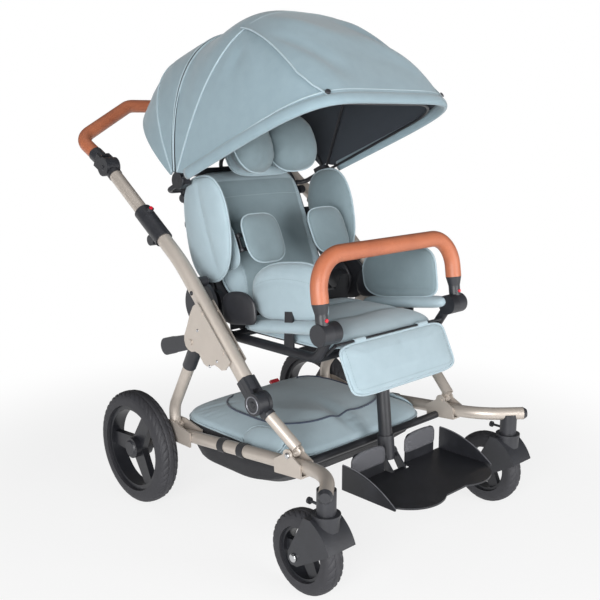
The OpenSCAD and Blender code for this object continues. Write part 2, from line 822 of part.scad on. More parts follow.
// Gusset plates on spacers at both faces of the rail, with rivet heads at the leg's top.
// The outline is in shares of the plate's length along the rail and below it.
gusset_t = 3;
gusset_gap = 3;
gusset_start = 42;
gusset_l = 172;
gusset_shares = [[0, -0.05], [0.93, -0.05], [0.95, 0.06], [0.91, 0.2], [0.84, 0.36], [0.79, 0.49],
                 [0.74, 0.55], [0.67, 0.58], [0.6, 0.57], [0.54, 0.53], [0.5, 0.46], [0.43, 0.41],
                 [0.35, 0.42], [0.28, 0.42], [0.22, 0.39], [0.18, 0.32], [0.15, 0.24], [0.09, 0.2],
                 [0.02, 0.17], [-0.02, 0.1]];
spacer_shares = [0.18, 0.78];
rivet_d = 14;
module rail_plate() {
    inner = rail_d / 2 + gusset_gap;
    outer = inner + gusset_t;
    u = [rail_dir.y, rail_dir.z];
    n = [u[1], -u[0]];
    from = [rail_foot.y, rail_foot.z] + gusset_start * u;
    outline = [for (p = gusset_shares) from + gusset_l * (p[0] * u + p[1] * n)];
    c = [leg_top.y, leg_top.z];
    color("tan") both() for (side = [0, 1]) translate([rail_x, 0, 0]) mirror([side, 0, 0]) {
        side_plate(inner, outer, outline);
        axial(inner + gusset_t / 2, outer + gusset_t, c, rivet_d);
        for (share = spacer_shares)
            axial(rail_d / 2 + seat_gap, outer + gusset_t / 2, from + share * gusset_l * u, rivet_d);
    }
}

// Seat mounts: round plates inside the rails that carry the tilt pivot
tilt_pin_d = 16;
tilt_disc_d = 112;
tilt_disc_t = 9;
mount_boss_d = 24;
mount_gap = 11;
mount_x2 = rail_x - rail_d / 2 - mount_gap;
mount_x1 = mount_x2 - tilt_disc_t;
mount_boss_share = 0.81;
tilt = [tilt_y, tilt_z];
module seat_mount() {
    boss = rail_foot + mount_boss_share * (rail_bend - rail_foot);
    b = [boss.y, boss.z];
    arm = [mount_boss_d / 2, 0];
    color("dimgray") both() difference() {
        union() {
            axial(mount_x1, mount_x2, tilt, tilt_disc_d);
            axial(mount_x1, rail_x, b, mount_boss_d);
            side_plate(mount_x1, mount_x2, [tilt - arm, b - arm, b + arm, tilt + 2 * arm]);
        }
        rod(rail_foot - rail_d * rail_dir, rail_bend + rail_d * rail_dir, rail_d + 2 * seat_gap);
        axial(mount_x1 - overrun, mount_x2 + overrun, tilt, tilt_pin_d + 2 * run_gap);
    }
}

// Clamps where the upper rails slide out of the lower rails
clamp_d = 43;
clamp_low = 58;
clamp_high = 44;
clamp_cam_share = 0.6;
button_d = 9;
button_boss_d = 15;
button_boss_h = 7;
button_rise = 2.5;
clamp_up = unit(cross([1, 0, 0], upper_dir));
button_base = rail_end + clamp_high / 2 * upper_dir;
button_root = button_base + (rail_d / 2 + overrun) * clamp_up;
boss_top = button_base + (clamp_d / 2 + button_boss_h) * clamp_up;
module rail_clamp() {
    cam_d = clamp_d * clamp_cam_share;
    color("dimgray") both() difference() {
        union() {
            rod(rail_end - clamp_low * upper_dir, rail_end + clamp_high * upper_dir, clamp_d);
            rod(button_base, boss_top, button_boss_d);
            translate(rail_end - clamp_low / 2 * upper_dir - cam_d * clamp_up)
                rotate([0, 90, 0]) cylinder(h = cam_d, d = cam_d, center = true);
        }
        rod(rail_end - 2 * clamp_low * upper_dir, rail_end + seat_gap * upper_dir, rail_d + 2 * run_gap);
        rod(rail_end, rail_end + 2 * clamp_high * upper_dir, upper_d + 2 * run_gap);
        rod(button_root - overrun * clamp_up, boss_top + overrun * clamp_up, button_d + 2 * run_gap);
    }
}

module rail_button() {
    rod(button_root, boss_top + button_rise * clamp_up, button_d);
}
module rail_button_l() {
    color("red") left() rail_button();
}
module rail_button_r() {
    color("red") right() rail_button();
}

// Curved rear legs
leg_knee_rise = 48;
leg_knee_back = 3;
leg_bend_r = 60;
leg_sleeve_l = 88;
leg_knee = leg_foot + [0, leg_knee_back, leg_knee_rise];
leg_dir = unit(leg_top - leg_knee);
leg_end = leg_top - leg_sleeve_l * leg_dir;
module rear_leg() {
    foot = [leg_foot.y, leg_foot.z];
    color("tan") both() difference() {
        union() {
            bent_bar([leg_foot, leg_knee, leg_end], leg_d, leg_bend_r);
            axial(frame_x - leg_d / 2, frame_x + leg_d / 2, foot, leg_d);
        }
        axial(frame_x - leg_d, frame_x + leg_d, foot, pin_d + 2 * run_gap);
    }
}

// Moulded sleeves at the leg tops, each with a rounded tail behind the pivot
tail_reach = [112, -33];
sleeve_d = 33;
sleeve_w = 26;
tail_d = 41;
module leg_sleeve() {
    x1 = rail_x - sleeve_w / 2;
    x2 = rail_x + sleeve_w / 2;
    c = [leg_top.y, leg_top.z];
    tail = c + tail_reach;
    top = [0, sleeve_d / 2];
    end = [0, tail_d / 2];
    color("dimgray") both() {
        rod(leg_end + seat_gap * leg_dir, leg_top - sleeve_d / 4 * leg_dir, sleeve_d);
        axial(x1, x2, c, sleeve_d);
        axial(x1, x2, tail, tail_d);
        side_plate(x1, x2, [c + top, c - top, tail - end, tail + end]);
    }
}

// Upper rails slide in the lower ones
hub_neck = 36;
module upper_rail() {
    color("tan") both() bent_tube([upper_tail, hub - hub_neck * upper_dir], upper_d, tube_wall, tube_bend_r);
}

// Handle hubs at the top of the upper rails
handle_hub_d = 46;
handle_hub_w = 20;
neck_step = 3;
module handle_hub() {
    p = [hub.y, hub.z];
    start = hub - (hub_neck - seat_gap) * upper_dir;
    pin_x = rail_d / 2 + neck_step;
    color("dimgray") both() {
        axial(rail_x - handle_hub_w / 2, rail_x + handle_hub_w / 2, p, handle_hub_d);
        rod(start, hub - (handle_hub_d / 2 + overrun) * upper_dir, upper_d + neck_step);
        rod(start, hub, handle_hub_w);
        axial(rail_x - pin_x, rail_x + pin_x, p, pin_d);
    }
}

// Collars of the handle: cheeks on the hub pin and a sleeve under the grip
handle_bend_1 = [rail_x, handle_bend_y, handle_bend_z];
handle_bend_2 = [handle_bar_w / 2, handle_bar_y, handle_bar_z];
handle_out = unit(handle_bend_1 - hub);
collar_start = 28;
collar_end = 66;
collar_arm_l = 38;
collar_half_share = 0.36;
module handle_collar() {
    p = [hub.y, hub.z];
    inner = handle_hub_w / 2 + seat_gap;
    outer = rail_d / 2 + hinge_lip;
    o = [handle_out.y, handle_out.z];
    across = handle_hub_d * collar_half_share * [-o[1], o[0]];
    far = p + collar_arm_l * o;
    color("dimgray") both() difference() {
        union() {
            for (x1 = [inner, -outer]) {
                x2 = x1 + outer - inner;
                axial(rail_x + x1, rail_x + x2, p, handle_hub_d);
                side_plate(rail_x + x1, rail_x + x2, [p - across, p + across, far + across, far - across]);
            }
            rod(hub + collar_start * handle_out, hub + collar_end * handle_out, handle_d + neck_step);
        }
        axial(rail_x - rail_d, rail_x + rail_d, p, pin_d + 2 * run_gap);
    }
}

// Leather handle grip
handle_bend_r = 58;
module handle_grip() {
    start = hub + (collar_end + seat_gap) * handle_out;
    color("sienna") place() bent_bar([start, handle_bend_1, handle_bend_2, mirrored(handle_bend_2),
        mirrored(handle_bend_1), mirrored(start)], handle_d, handle_bend_r);
}

// Seat frame: side and cross tubes, pan, tilt plates, back pivots, bar hubs and flap arms
seat_tail = 14;
seat_rear_y = tilt_y + seat_tail;
seat_bend_r = 34;
cross_front_in = 26;
cross_rear_in = 44;
cross_front_y = seat_front_y + cross_front_in;
cross_rear_y = tilt_y - cross_rear_in;
cross_tube_step = 4;
cross_tube_d = seat_tube_d - cross_tube_step;
pan_t = 4;
pan_lap = 1;
pan_edge = 10;
pan_z = seat_tube_z + cross_tube_d / 2 - pan_lap;
bar_hub_d = 46;
bar_pin_d = 12;
back_pivot_front = 8;
back_pivot_drop = 35;
back_pivot = tilt - [back_pivot_front, back_pivot_drop];
back_pin_d = 14;
lug_w = 14;
lug_in = seat_x - seat_tube_d / 2 - lug_w;
flap_front = 8;
flap_rise = 10;
flap_axis = [seat_front_y - flap_front, seat_z + flap_rise];
flap_rod_d = 6;
flap_arm_gap = 3;
flap_arm_x = flap_w / 2 + flap_arm_gap;
thigh_in = 4;
thigh_x = seat_x - seat_tube_d / 2 - thigh_in;
tilt_plate_d = 56;
plate_half_share = 0.42;
shaft_share = 1.6;
pan_side = 21;
tab_t = 5;
tab_w = 30;
tab_place_share = 0.45;
module seat_frame() {
    tube_in = seat_x - seat_tube_d / 2;
    tube_out = seat_x + seat_tube_d / 2;
    side_run = [[seat_x, seat_rear_y, seat_tube_z], [seat_x, cross_front_y, seat_tube_z],
                [seat_x, bar_hub_y, bar_hub_z]];
    bar_p = [bar_hub_y, bar_hub_z];
    tab_x = thigh_x + thigh_t / 2 + seat_gap;
    tab_y = seat_front_y + thigh_l * tab_place_share;
    tab_z = seat_z + thigh_rise + thigh_h / 2 + tab_w / 3;
    pan_half = tube_in - pan_side;
    plate_low = seat_tube_z - seat_tube_d / 3;
    plate_half = [tilt_plate_d * plate_half_share, 0];
    color("black") {
        both() {
            bent_bar(side_run, seat_tube_d, seat_bend_r);
            axial(tube_in, tube_out, bar_p, bar_hub_d);
            axial(tube_in, bar_x + seat_tube_d / 2, bar_p, bar_pin_d);
            side_plate(seat_x, tube_out + tab_t,
                [[seat_rear_y - tab_w, plate_low], [seat_rear_y, plate_low],
                 tilt + plate_half, tilt - plate_half]);
            axial(seat_x, tube_out + tab_t, tilt, tilt_plate_d);
            axial(seat_x, mount_x1 - seat_gap, tilt, tilt_pin_d * shaft_share);
            axial(seat_x, mount_x2, tilt, tilt_pin_d);
            axial(lug_in, seat_x + overrun, back_pivot, back_pin_d);
            axial(tube_in, seat_x + overrun, back_pivot, back_pin_d * shaft_share);
            side_plate(tab_x, tab_x + tab_t,
                [[tab_y - tab_w / 2, seat_tube_z], [tab_y + tab_w / 2, seat_tube_z],
                 [tab_y + tab_w / 3, tab_z], [tab_y - tab_w / 3, tab_z]]);
            rod([flap_arm_x, cross_front_y, seat_tube_z], [flap_arm_x, flap_axis[0], flap_axis[1]],
                tab_t * shaft_share);
        }
        place() {
            axial(-seat_x, seat_x, [cross_front_y, seat_tube_z], cross_tube_d);
            axial(-seat_x, seat_x, [cross_rear_y, seat_tube_z], cross_tube_d);
            axial(-flap_arm_x, flap_arm_x, flap_axis, flap_rod_d);
            translate([-pan_half, cross_front_y - pan_edge, pan_z])
                cube([2 * pan_half, cross_rear_y - cross_front_y + 2 * pan_edge, pan_t]);
        }
    }
}

// Seat cushion with sewn channels
seat_crown = 37;
seat_back = 7;
seat_power = 7;
seat_channels = 3;
channel_share = 0.14;
module seat_cushion() {
    color("lightsteelblue") place()
        translate([0, seat_front_y + seat_l / 2, pan_z + pan_t + seat_gap + seat_back])
            cushion(seat_w, seat_l, seat_crown, seat_back, seat_power, big_sides, big_rings,
                    seat_channels, channel_share);
}

// Leaf shaped thigh pads standing beside the cushion
thigh_power = 2.6;
thigh_lean = 8;
thigh_rise = 44;
module thigh_pad() {
    color("lightsteelblue") both()
        translate([thigh_x, seat_front_y + thigh_in + thigh_l / 2, seat_z + thigh_rise + thigh_h / 2])
            rotate([-thigh_lean, 0, 0]) rotate([90, 0, 90])
                cushion(thigh_l, thigh_h, thigh_t / 2, thigh_t / 2, thigh_power, small_sides, small_rings);
}

// Everything on the back is drawn flat: x across, y up the back, z towards the child
module on_back() {
    translate([0, back_y, back_z]) rotate([90 - recline, 0, 0]) children();
}
function back_local(p) =
    let (d = p - [back_y, back_z])
    [d[0] * sin(recline) + d[1] * cos(recline), -d[0] * cos(recline) + d[1] * sin(recline)];

// Back frame: pivot lugs, a tube hoop, the shell, wing tabs, trunk arms and the headrest guide
back_tube_d = 20;
back_rise = 26;
hoop_in = 6;
hoop_x = lug_in + hoop_in;
hoop_back = 16.5;
hoop_rise = 70;
hoop_n = -back_t - hoop_back;
hoop_top = back_l + hoop_rise;
hoop_r = 40;
shell_t = 8;
shell_low = 44;
lug_d = 34;
lug_link_d = 11;
link_rise = 60;
trunk_s = 144;
trunk_n = 66;
trunk_pin_d = 6;
trunk_arm_h = 24;
trunk_arm_t = 5;
trunk_arm_gap = 4;
trunk_arm_x = back_w / 2 + trunk_arm_gap;
trunk_pin_l = 44;
guide_d = 10;
guide_x = 32;
guide_h = 24;
guide_back = 7;
guide_n = hoop_n - back_tube_d / 2 - guide_back;
wing_s = 198;
wing_n = 28;
wing_tab_t = 4;
module back_frame() {
    lug = back_local(back_pivot);
    link_s = lug[0] + link_rise;
    hoop_foot = [hoop_x, link_s - lug_link_d, hoop_n];
    hoop_corner = [hoop_x, hoop_top, hoop_n];
    color("black") {
        both() on_back() {
            difference() {
                union() {
                    translate([lug_in + seat_gap, lug[0], lug[1]]) rotate([0, 90, 0])
                        cylinder(h = lug_w - 2 * seat_gap, d = lug_d);
                    rod([hoop_x, lug[0], lug[1]], [hoop_x, link_s, hoop_n], lug_link_d);
                }
                translate([0, lug[0], lug[1]]) rotate([0, 90, 0])
                    cylinder(h = seat_frame_w, d = back_pin_d + 2 * run_gap);
            }
            translate([trunk_arm_x - trunk_arm_t / 2, trunk_s - trunk_arm_h / 2, -back_t - shell_t])
                cube([trunk_arm_t, trunk_arm_h, back_t + shell_t + trunk_n]);
            translate([trunk_arm_x, trunk_s, trunk_n]) rotate([90, 0, 0])
                cylinder(h = trunk_pin_l, d = trunk_pin_d, center = true);
            translate([hoop_x + back_tube_d / 2 - wing_tab_t, wing_s - trunk_arm_h / 2, hoop_n])
                cube([wing_tab_t, trunk_arm_h, wing_n + trunk_arm_h - hoop_n]);
        }
        place() on_back() {
            bent_bar([mirrored(hoop_foot), mirrored(hoop_corner), hoop_corner, hoop_foot],
                     back_tube_d, hoop_r);
            translate([-hoop_x, shell_low, -back_t - shell_t])
                cube([2 * hoop_x, back_l - back_rise, shell_t]);
            difference() {
                translate([-guide_x - guide_d, hoop_top - guide_h / 2, guide_n - guide_d])
                    cube([2 * (guide_x + guide_d), guide_h, hoop_n - guide_n + guide_d]);
                for (x = [-guide_x, guide_x])
                    translate([x, hoop_top + guide_h, guide_n]) rotate([90, 0, 0])
                        cylinder(h = 2 * guide_h, d = guide_d + 2 * run_gap);
            }
        }
    }
}

// Quilted back cushion
back_pad_back = 5.4;
back_channels = 2;
module back_cushion() {
    depth = back_pad_back + seat_gap;
    color("slategray") place() on_back() translate([0, back_rise + back_l / 2, depth - back_t])
        cushion(back_w, back_l, back_t - depth, back_pad_back, seat_power, big_sides, big_rings,
                back_channels, channel_share);
}

// Side wings of the back
wing_power = 2.5;
wing_turn = 14;
wing_x = hoop_x + back_tube_d / 2 + seat_gap + wing_t / 2;
module back_wing() {
    color("lightsteelblue") both() on_back()
        translate([wing_x, wing_s, wing_n]) rotate([0, 90, 0]) rotate(wing_turn)
            cushion(wing_depth, wing_h, wing_t / 2, wing_t / 2, wing_power, small_sides, small_rings);
}

// Trunk side supports that swing on their arms: a padded face and a hinged bracket behind it
trunk_in = 56;
trunk_out = 20;
trunk_turn = 2;
trunk_power = 3.4;
trunk_knuckle_d = 13;
trunk_leaf_t = 3;
trunk_leaf_l = 12;
module trunk_pad() {
    ring = trunk_arm_h / 2 + seat_gap;
    ring_l = trunk_pin_l / 2 - ring;
    pin_x = trunk_in * cos(trunk_turn) - trunk_out * sin(trunk_turn);
    pin_z = -trunk_in * sin(trunk_turn) - trunk_out * cos(trunk_turn);
    leaf_z = -trunk_t / 2 - seat_gap - trunk_leaf_t;
    on_back() translate([trunk_arm_x - trunk_in, trunk_s, trunk_n + trunk_out]) rotate([0, -trunk_turn, 0]) {
        cushion(trunk_w, trunk_h, trunk_t / 2, trunk_t / 2, trunk_power, small_sides, small_rings);
        for (y = [ring, -ring - ring_l]) difference() {
            union() {
                translate([pin_x, y, pin_z]) rotate([-90, 0, 0]) cylinder(h = ring_l, d = trunk_knuckle_d);
                translate([-trunk_leaf_l, y, leaf_z])
                    cube([pin_x + trunk_leaf_l - trunk_pin_d / 2, ring_l, trunk_leaf_t]);
            }
            translate([pin_x, 0, pin_z]) rotate([90, 0, 0])
                cylinder(h = 2 * trunk_pin_l, d = trunk_pin_d + 2 * run_gap, center = true);
        }
    }
}
module trunk_pad_l() {
    color("slategray") left() trunk_pad();
}
module trunk_pad_r() {
    color("slategray") right() trunk_pad();
}

// Headrest: a back pad and two fat lobes in front of the back
head_s = 368;
head_n = 36;
head_pad_t = 14;
head_pad_rise = 10;
head_pad_w_share = 1.9;
head_pad_h_share = 0.9;
head_pad_power = 4;
lobe_power = 2.7;
lobe_turn = 14;
lobe_front_share = 0.62;
lobe_gap = 39.1;
module headrest_cushion() {
    color("slategray") {
        place() on_back() translate([0, head_s + head_pad_rise, head_n])
            cushion(head_w * head_pad_w_share, head_h * head_pad_h_share, head_pad_t, head_pad_t,
                    head_pad_power, small_sides, small_rings);
        both() on_back() translate([head_w / 2, head_s, head_n + lobe_gap]) rotate([0, -lobe_turn, 0])
            cushion(head_w, head_h, head_t * lobe_front_share, head_t * (1 - lobe_front_share), lobe_power,
                    small_sides, small_rings);
    }
}

// Headrest stalks slide in the guide and bend forward over the back
stalk_below = 74;
stalk_above = 36;
stalk_r = 24;
stalk_in = 0.7;
module headrest_post() {
    high = hoop_top + stalk_above;
    low = [guide_x, hoop_top - stalk_below, guide_n];
    tip = [guide_x, high, head_n - head_pad_t - seat_gap + stalk_in];
    color("dimgray") both() on_back() bent_bar([low, [guide_x, high, guide_n], tip], guide_d, stalk_r);
}

// Clamps on the hoop that carry the canopy
clamp_side = 30;
clamp_w = 18;
clamp_arm_d = 12;
clamp_arm_r = 16;
clamp_pin_d = 8;
clamp_in = 9;
clamp_x2 = canopy_x - canopy_t - clamp_in;
clamp_x1 = clamp_x2 - clamp_w;
module canopy_clamp() {
    p = back_local([canopy_y, canopy_z]);
    arm_x = clamp_x1 + clamp_w / 2;
    root_x = hoop_x + back_tube_d / 2 + seat_gap;
    color("black") both() on_back() {
        bent_bar([[root_x, p[0], hoop_n], [arm_x, p[0], hoop_n], [arm_x, p[0], p[1]]],
                 clamp_arm_d, clamp_arm_r);
        translate([clamp_x1, p[0] - clamp_side / 2, p[1] - clamp_side / 2])
            cube([clamp_w, clamp_side, clamp_side]);
        translate([clamp_x1, p[0], p[1]]) rotate([0, 90, 0])
            cylinder(h = canopy_x - canopy_t - clamp_x1, d = clamp_pin_d);
    }
}

// Reach of the canopy from its pivot and how square its arch is, at an angle measured
// from straight back, up and over to the front
canopy_back_a = 40;
canopy_top_a = 92;
canopy_front_a = 158;
canopy_curve = 1.75;
canopy_step_a = 88;
canopy_step = 24;
canopy_low_share = 0.856;
round_power = 2.6;
square_power = 5.6;
canopy_low_r = canopy_top_r * canopy_low_share;
function canopy_front(a) =
    canopy_top_r + (canopy_front_r - canopy_top_r)
        * pow(max(0, a - canopy_top_a) / (canopy_front_a - canopy_top_a), canopy_curve);
function canopy_r(a) =
    a < canopy_step_a
        ? canopy_rear_r + (canopy_low_r - canopy_rear_r)
            * sin(90 * max(0, a - canopy_back_a) / (canopy_step_a - canopy_back_a))
        : canopy_front(a) - (canopy_top_r - canopy_low_r)
            * (1 + cos(180 * min(1, (a - canopy_step_a) / canopy_step))) / 2;
function canopy_power(a) =
    round_power + (square_power - round_power)
        * pow(max(0, a - canopy_top_a) / (canopy_front_a - canopy_top_a), 2);
function swing(x, reach, a) = [x, canopy_y + reach * cos(a), canopy_z + reach * sin(a)];

// Canopy bows: hub discs and three hoops inside the cloth
bow_d = 8;
bow_wire_d = 7;
bow_disc_d = 40;
bow_disc_t = 5;
bow_root = 16;
bow_angles = [62, 116, 157];
bow_reach_shares = [0.93, 0.93, 0.92];
bow_bend_shares = [0.56, 0.56, 0.24];
bow_taper_shares = [0.82, 0.82, 0.92];
module canopy_bow() {
    x = canopy_x - canopy_t - seat_gap - bow_d / 2;
    pivot = [canopy_y, canopy_z];
    color("black") {
        both() difference() {
            axial(x + bow_d / 2 - bow_disc_t, x + bow_d / 2, pivot, bow_disc_d);
            axial(0, 2 * x, pivot, clamp_pin_d + 2 * run_gap);
        }
        place() for (i = [0:2]) {
            a = bow_angles[i];
            reach = canopy_r(a) * bow_reach_shares[i];
            top_x = x * bow_taper_shares[i];
            root = swing(x, bow_root, a);
            top = swing(top_x, reach, a);
            bent_bar([root, top, mirrored(top), mirrored(root)], bow_wire_d, reach * bow_bend_shares[i]);
        }
    }
}

// Canopy cloth: arches swung about the pivot from the rear hem to the front rim
canopy_from = 36;
hem_r = 21;
canopy_rows = 15;
canopy_cols = 24;
module canopy_shell() {
    last_row = canopy_rows - 1;
    last_col = canopy_cols - 1;
    function arch(a, t, grow) =
        let (power = canopy_power(a), lift = max(0, squared(sin(t), power)))
        swing(squared(cos(t), power) * (canopy_x - grow), hem_r + lift * (canopy_r(a) - grow - hem_r), a);
    function grid(grow) = [for (i = [0:last_row]) for (j = [0:last_col])
        arch(canopy_from + (canopy_front_a - canopy_from) * i / last_row, 180 * j / last_col, grow)];
    half = canopy_rows * canopy_cols;
    function at(i, j) = i * canopy_cols + j;
    function in(i, j) = half + at(i, j);
    faces = concat(
        [for (i = [0:last_row - 1]) for (j = [0:last_col - 1]) each
            [[at(i, j), at(i + 1, j), at(i + 1, j + 1)], [at(i, j), at(i + 1, j + 1), at(i, j + 1)],
             [in(i, j), in(i + 1, j + 1), in(i + 1, j)], [in(i, j), in(i, j + 1), in(i + 1, j + 1)]]],
        [for (j = [0:last_col - 1]) each
            [[at(0, j), at(0, j + 1), in(0, j + 1)], [at(0, j), in(0, j + 1), in(0, j)],
             [at(last_row, j), in(last_row, j + 1), at(last_row, j + 1)],
             [at(last_row, j), in(last_row, j), in(last_row, j + 1)]]],
        [for (i = [0:last_row - 1]) each
            [[at(i, 0), in(i + 1, 0), at(i + 1, 0)], [at(i, 0), in(i, 0), in(i + 1, 0)],
             [at(i, last_col), at(i + 1, last_col), in(i + 1, last_col)],
             [at(i, last_col), in(i + 1, last_col), in(i, last_col)]]]);
    color("lightsteelblue") place() polyhedron(concat(grid(0), grid(canopy_t)), faces);
}

// Bumper bar posts: hub disc, upright adapter and flared collar
bar_disc_w = 30;
bar_start_share = 0.4;
bar_lean = 22;
adapter_d = 27;
bar_flare = 22;
bar_low = [bar_x, bar_hub_y, bar_hub_z];
bar_top = [bar_x, bar_hub_y + bar_lean, bar_z];
bar_up = unit(bar_top - bar_low);
bar_start = bar_low + norm(bar_top - bar_low) * bar_start_share * bar_up;
bar_button_d = 8;
bar_button_s = 31;
button_depth_share = 0.18;
bar_button_p = bar_low + bar_button_s * bar_up;
button_in = [0, adapter_d * button_depth_share, 0];
module bar_post() {
    x1 = seat_x + seat_tube_d / 2 + seat_gap;
    p = [bar_hub_y, bar_hub_z];
    flare = bar_start - bar_flare * bar_up;
    color("dimgray") both() difference() {
        union() {
            axial(x1, x1 + bar_disc_w, p, bar_hub_d);
            rod(bar_low, flare, adapter_d);
            aim(flare, bar_top) cylinder(h = bar_flare - seat_gap, d1 = adapter_d, d2 = bar_d);
        }
        axial(0, bar_x + seat_tube_d / 2 + seat_gap, p, bar_pin_d + 2 * run_gap);
        rod(bar_button_p - [0, adapter_d, 0], bar_button_p - button_in, bar_button_d + 2 * run_gap);
    }
}

// Leather bumper bar
bar_bend_r = 72;
module bar_grip() {
    color("sienna") place()
        bent_bar([bar_start, bar_top, mirrored(bar_top), mirrored(bar_start)], bar_d, bar_bend_r);
}

// Red release buttons on the adapters
module bar_button() {
    face = [0, adapter_d / 2 + overrun, 0];
    rod(bar_button_p - button_in - [0, overrun, 0], bar_button_p - face, bar_button_d);
}
module bar_button_l() {
    color("red") left() bar_button();
}
module bar_button_r() {
    color("red") right() bar_button();
}

// Padded legrest flap hung from its rod by two loops
flap_lean = 26;
flap_power = 8;
loop_d = 11;
loop_w = 34;
loop_x = 90;
hang_share = 0.75;
module legrest_flap() {
    drop = flap_l / 2 * (1 - hang_share * pull_share) + loop_d / 2 + seat_gap;
    color("lightsteelblue") {
        both() difference() {
            axial(loop_x, loop_x + loop_w, flap_axis, loop_d);
            axial(0, seat_w, flap_axis, flap_rod_d + 2 * run_gap);
        }
        place() translate([0, flap_axis[0], flap_axis[1]]) rotate([90 - flap_lean, 0, 0])
            translate([0, -drop, 0])
                cushion(flap_w, flap_l, flap_t / 2, flap_t / 2, flap_power, big_sides, big_rings);
    }
}

// Footrest post under the seat's front cross tube
post_wall = 2;
post_foot = [0, post_foot_y, post_foot_z];
post_up = unit([0, cross_front_y, seat_tube_z] - post_foot);
module foot_post() {
    top = [0, cross_front_y, seat_tube_z] - (cross_tube_d / 2 + seat_gap) * post_up;
    color("black") place() bent_tube([top, post_foot], post_d, post_wall, tube_bend_r);
}

// Sleeve that slides on the post, with ears for the footplate's hinge
foot_sleeve_l = 56;
foot_sleeve_wall = 3.5;
foot_ear_x = 19;
foot_ear_t = 5;
foot_ear_h = 26;
foot_ear_r = 8;
foot_pin_d = 6;
foot_hinge_in = 10;
foot_hinge_drop = 6;
foot_hinge = [footplate_rear_y - foot_hinge_in, footplate_z - foot_hinge_drop];
ear_hub_share = 0.7;
module foot_sleeve() {
    ear_out = foot_ear_x + foot_ear_t;
    bore_l = foot_sleeve_l * post_up;
    ear = [foot_hinge + [-foot_ear_r, -foot_ear_r], foot_hinge + [foot_ear_r, -foot_ear_r],
           [post_foot_y, post_foot_z], [post_foot_y, post_foot_z + foot_ear_h],
           foot_hinge + [-foot_ear_r, foot_ear_r]];
    color("black") place() {
        difference() {
            union() {
                rod(post_foot, post_foot + foot_sleeve_l * post_up, post_d + 2 * foot_sleeve_wall);
                side_plate(foot_ear_x, ear_out, ear);
                side_plate(-ear_out, -foot_ear_x, ear);
                axial(-ear_out, ear_out, [post_foot_y, post_foot_z + foot_ear_h / 2], post_d * ear_hub_share);
            }
            rod(post_foot - bore_l, post_foot + 2 * bore_l, post_d + 2 * run_gap);
        }
        axial(-ear_out, ear_out, foot_hinge, foot_pin_d);
    }
}

// Footplate: floor with two front lobes, side walls, heel guards and the hinge barrel
lobe_r_share = 0.255;
lobe_x_share = 0.24;
lobe_fill_share = 0.16;
foot_notch_w = 62;
foot_notch_l = 26;
heel_w = 104;
heel_h = 70;
heel_r = 14;
wall_front = 42;
wall_steps = 8;
wall_power = 2.2;
tongue_l = 18;
tongue_t = 5;
tongue_lap = 0.5;
module footplate() {
    half = footplate_w / 2;
    lobe_r = footplate_w * lobe_r_share;
    lobe_x = footplate_w * lobe_x_share;
    lobe_y = front_end + lobe_r;
    notch_y = footplate_rear_y - foot_notch_l;
    wall_l = footplate_l - wall_front;
    curve = [for (k = [0:wall_steps])
        [footplate_rear_y - wall_l * k / wall_steps,
         footplate_z + foot_sheet_t + foot_wall_h * (1 - pow(k / wall_steps, wall_power))]];
    wall = concat([[footplate_rear_y, footplate_z]], curve, [[footplate_rear_y - wall_l, footplate_z]]);
    barrel = foot_ear_x - seat_gap;
    color("black") {
        place() {
            translate([0, 0, footplate_z]) linear_extrude(foot_sheet_t) difference() {
                union() {
                    translate([-half, lobe_y]) square([footplate_w, footplate_rear_y - lobe_y]);
                    translate([-lobe_x, front_end + lobe_r * lobe_fill_share]) square([2 * lobe_x, lobe_r]);
                    for (x = [-lobe_x, lobe_x]) translate([x, lobe_y]) circle(r = lobe_r);
                }
                translate([-foot_notch_w / 2, notch_y]) square([foot_notch_w, 2 * foot_notch_l]);
            }
            for (x = [-half, half - foot_sheet_t]) side_plate(x, x + foot_sheet_t, wall);
            difference() {
                union() {
                    axial(-barrel, barrel, foot_hinge, 2 * foot_pin_d);
                    translate([-barrel, notch_y - tongue_l, footplate_z - tongue_t])
                        cube([2 * barrel, foot_hinge[0] - notch_y + tongue_l, tongue_t + tongue_lap]);
                }
                axial(-2 * barrel, 2 * barrel, foot_hinge, foot_pin_d + 2 * run_gap);
            }
        }
        both() translate([foot_notch_w / 2 + heel_r / 2, footplate_rear_y, footplate_z]) rotate([90, 0, 0])
            linear_extrude(foot_sheet_t) {
                square([heel_w, heel_h - heel_r]);
                translate([heel_r, 0]) square([heel_w - 2 * heel_r, heel_h]);
                for (x = [heel_r, heel_w - heel_r]) translate([x, heel_h - heel_r]) circle(r = heel_r);
            }
    }
}

side_tube();
front_bracket();
caster_housing();
rear_bracket();
rear_axle();
cross_bar();
basket_tub();
basket_cover();
basket_strap();
rear_tyre_l();
rear_tyre_r();
rear_rim_l();
rear_rim_r();
hub_cap_l();
hub_cap_r();
caster_fork_l();
caster_fork_r();
caster_tyre_l();
caster_tyre_r();
caster_rim_l();
caster_rim_r();
swivel_lock_l();
swivel_lock_r();
brake_pedal();
strut();
hinge_lower();
hinge_upper();
rail();
rail_plate();
seat_mount();
rail_clamp();
rail_button_l();
rail_button_r();
rear_leg();
leg_sleeve();
upper_rail();
handle_hub();
handle_collar();
handle_grip();
seat_frame();
seat_cushion();
thigh_pad();
back_frame();
back_cushion();
back_wing();
trunk_pad_l();
trunk_pad_r();
headrest_post();
headrest_cushion();
canopy_clamp();
canopy_bow();
canopy_shell();
bar_post();
bar_grip();
bar_button_l();
bar_button_r();
legrest_flap();
foot_post();
foot_sleeve();
footplate();
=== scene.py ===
"""Looks of the special needs buggy: cloth, pads, leather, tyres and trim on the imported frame."""
import json
import math

import bpy
import numpy as np
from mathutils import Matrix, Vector
from mathutils.bvhtree import BVHTree


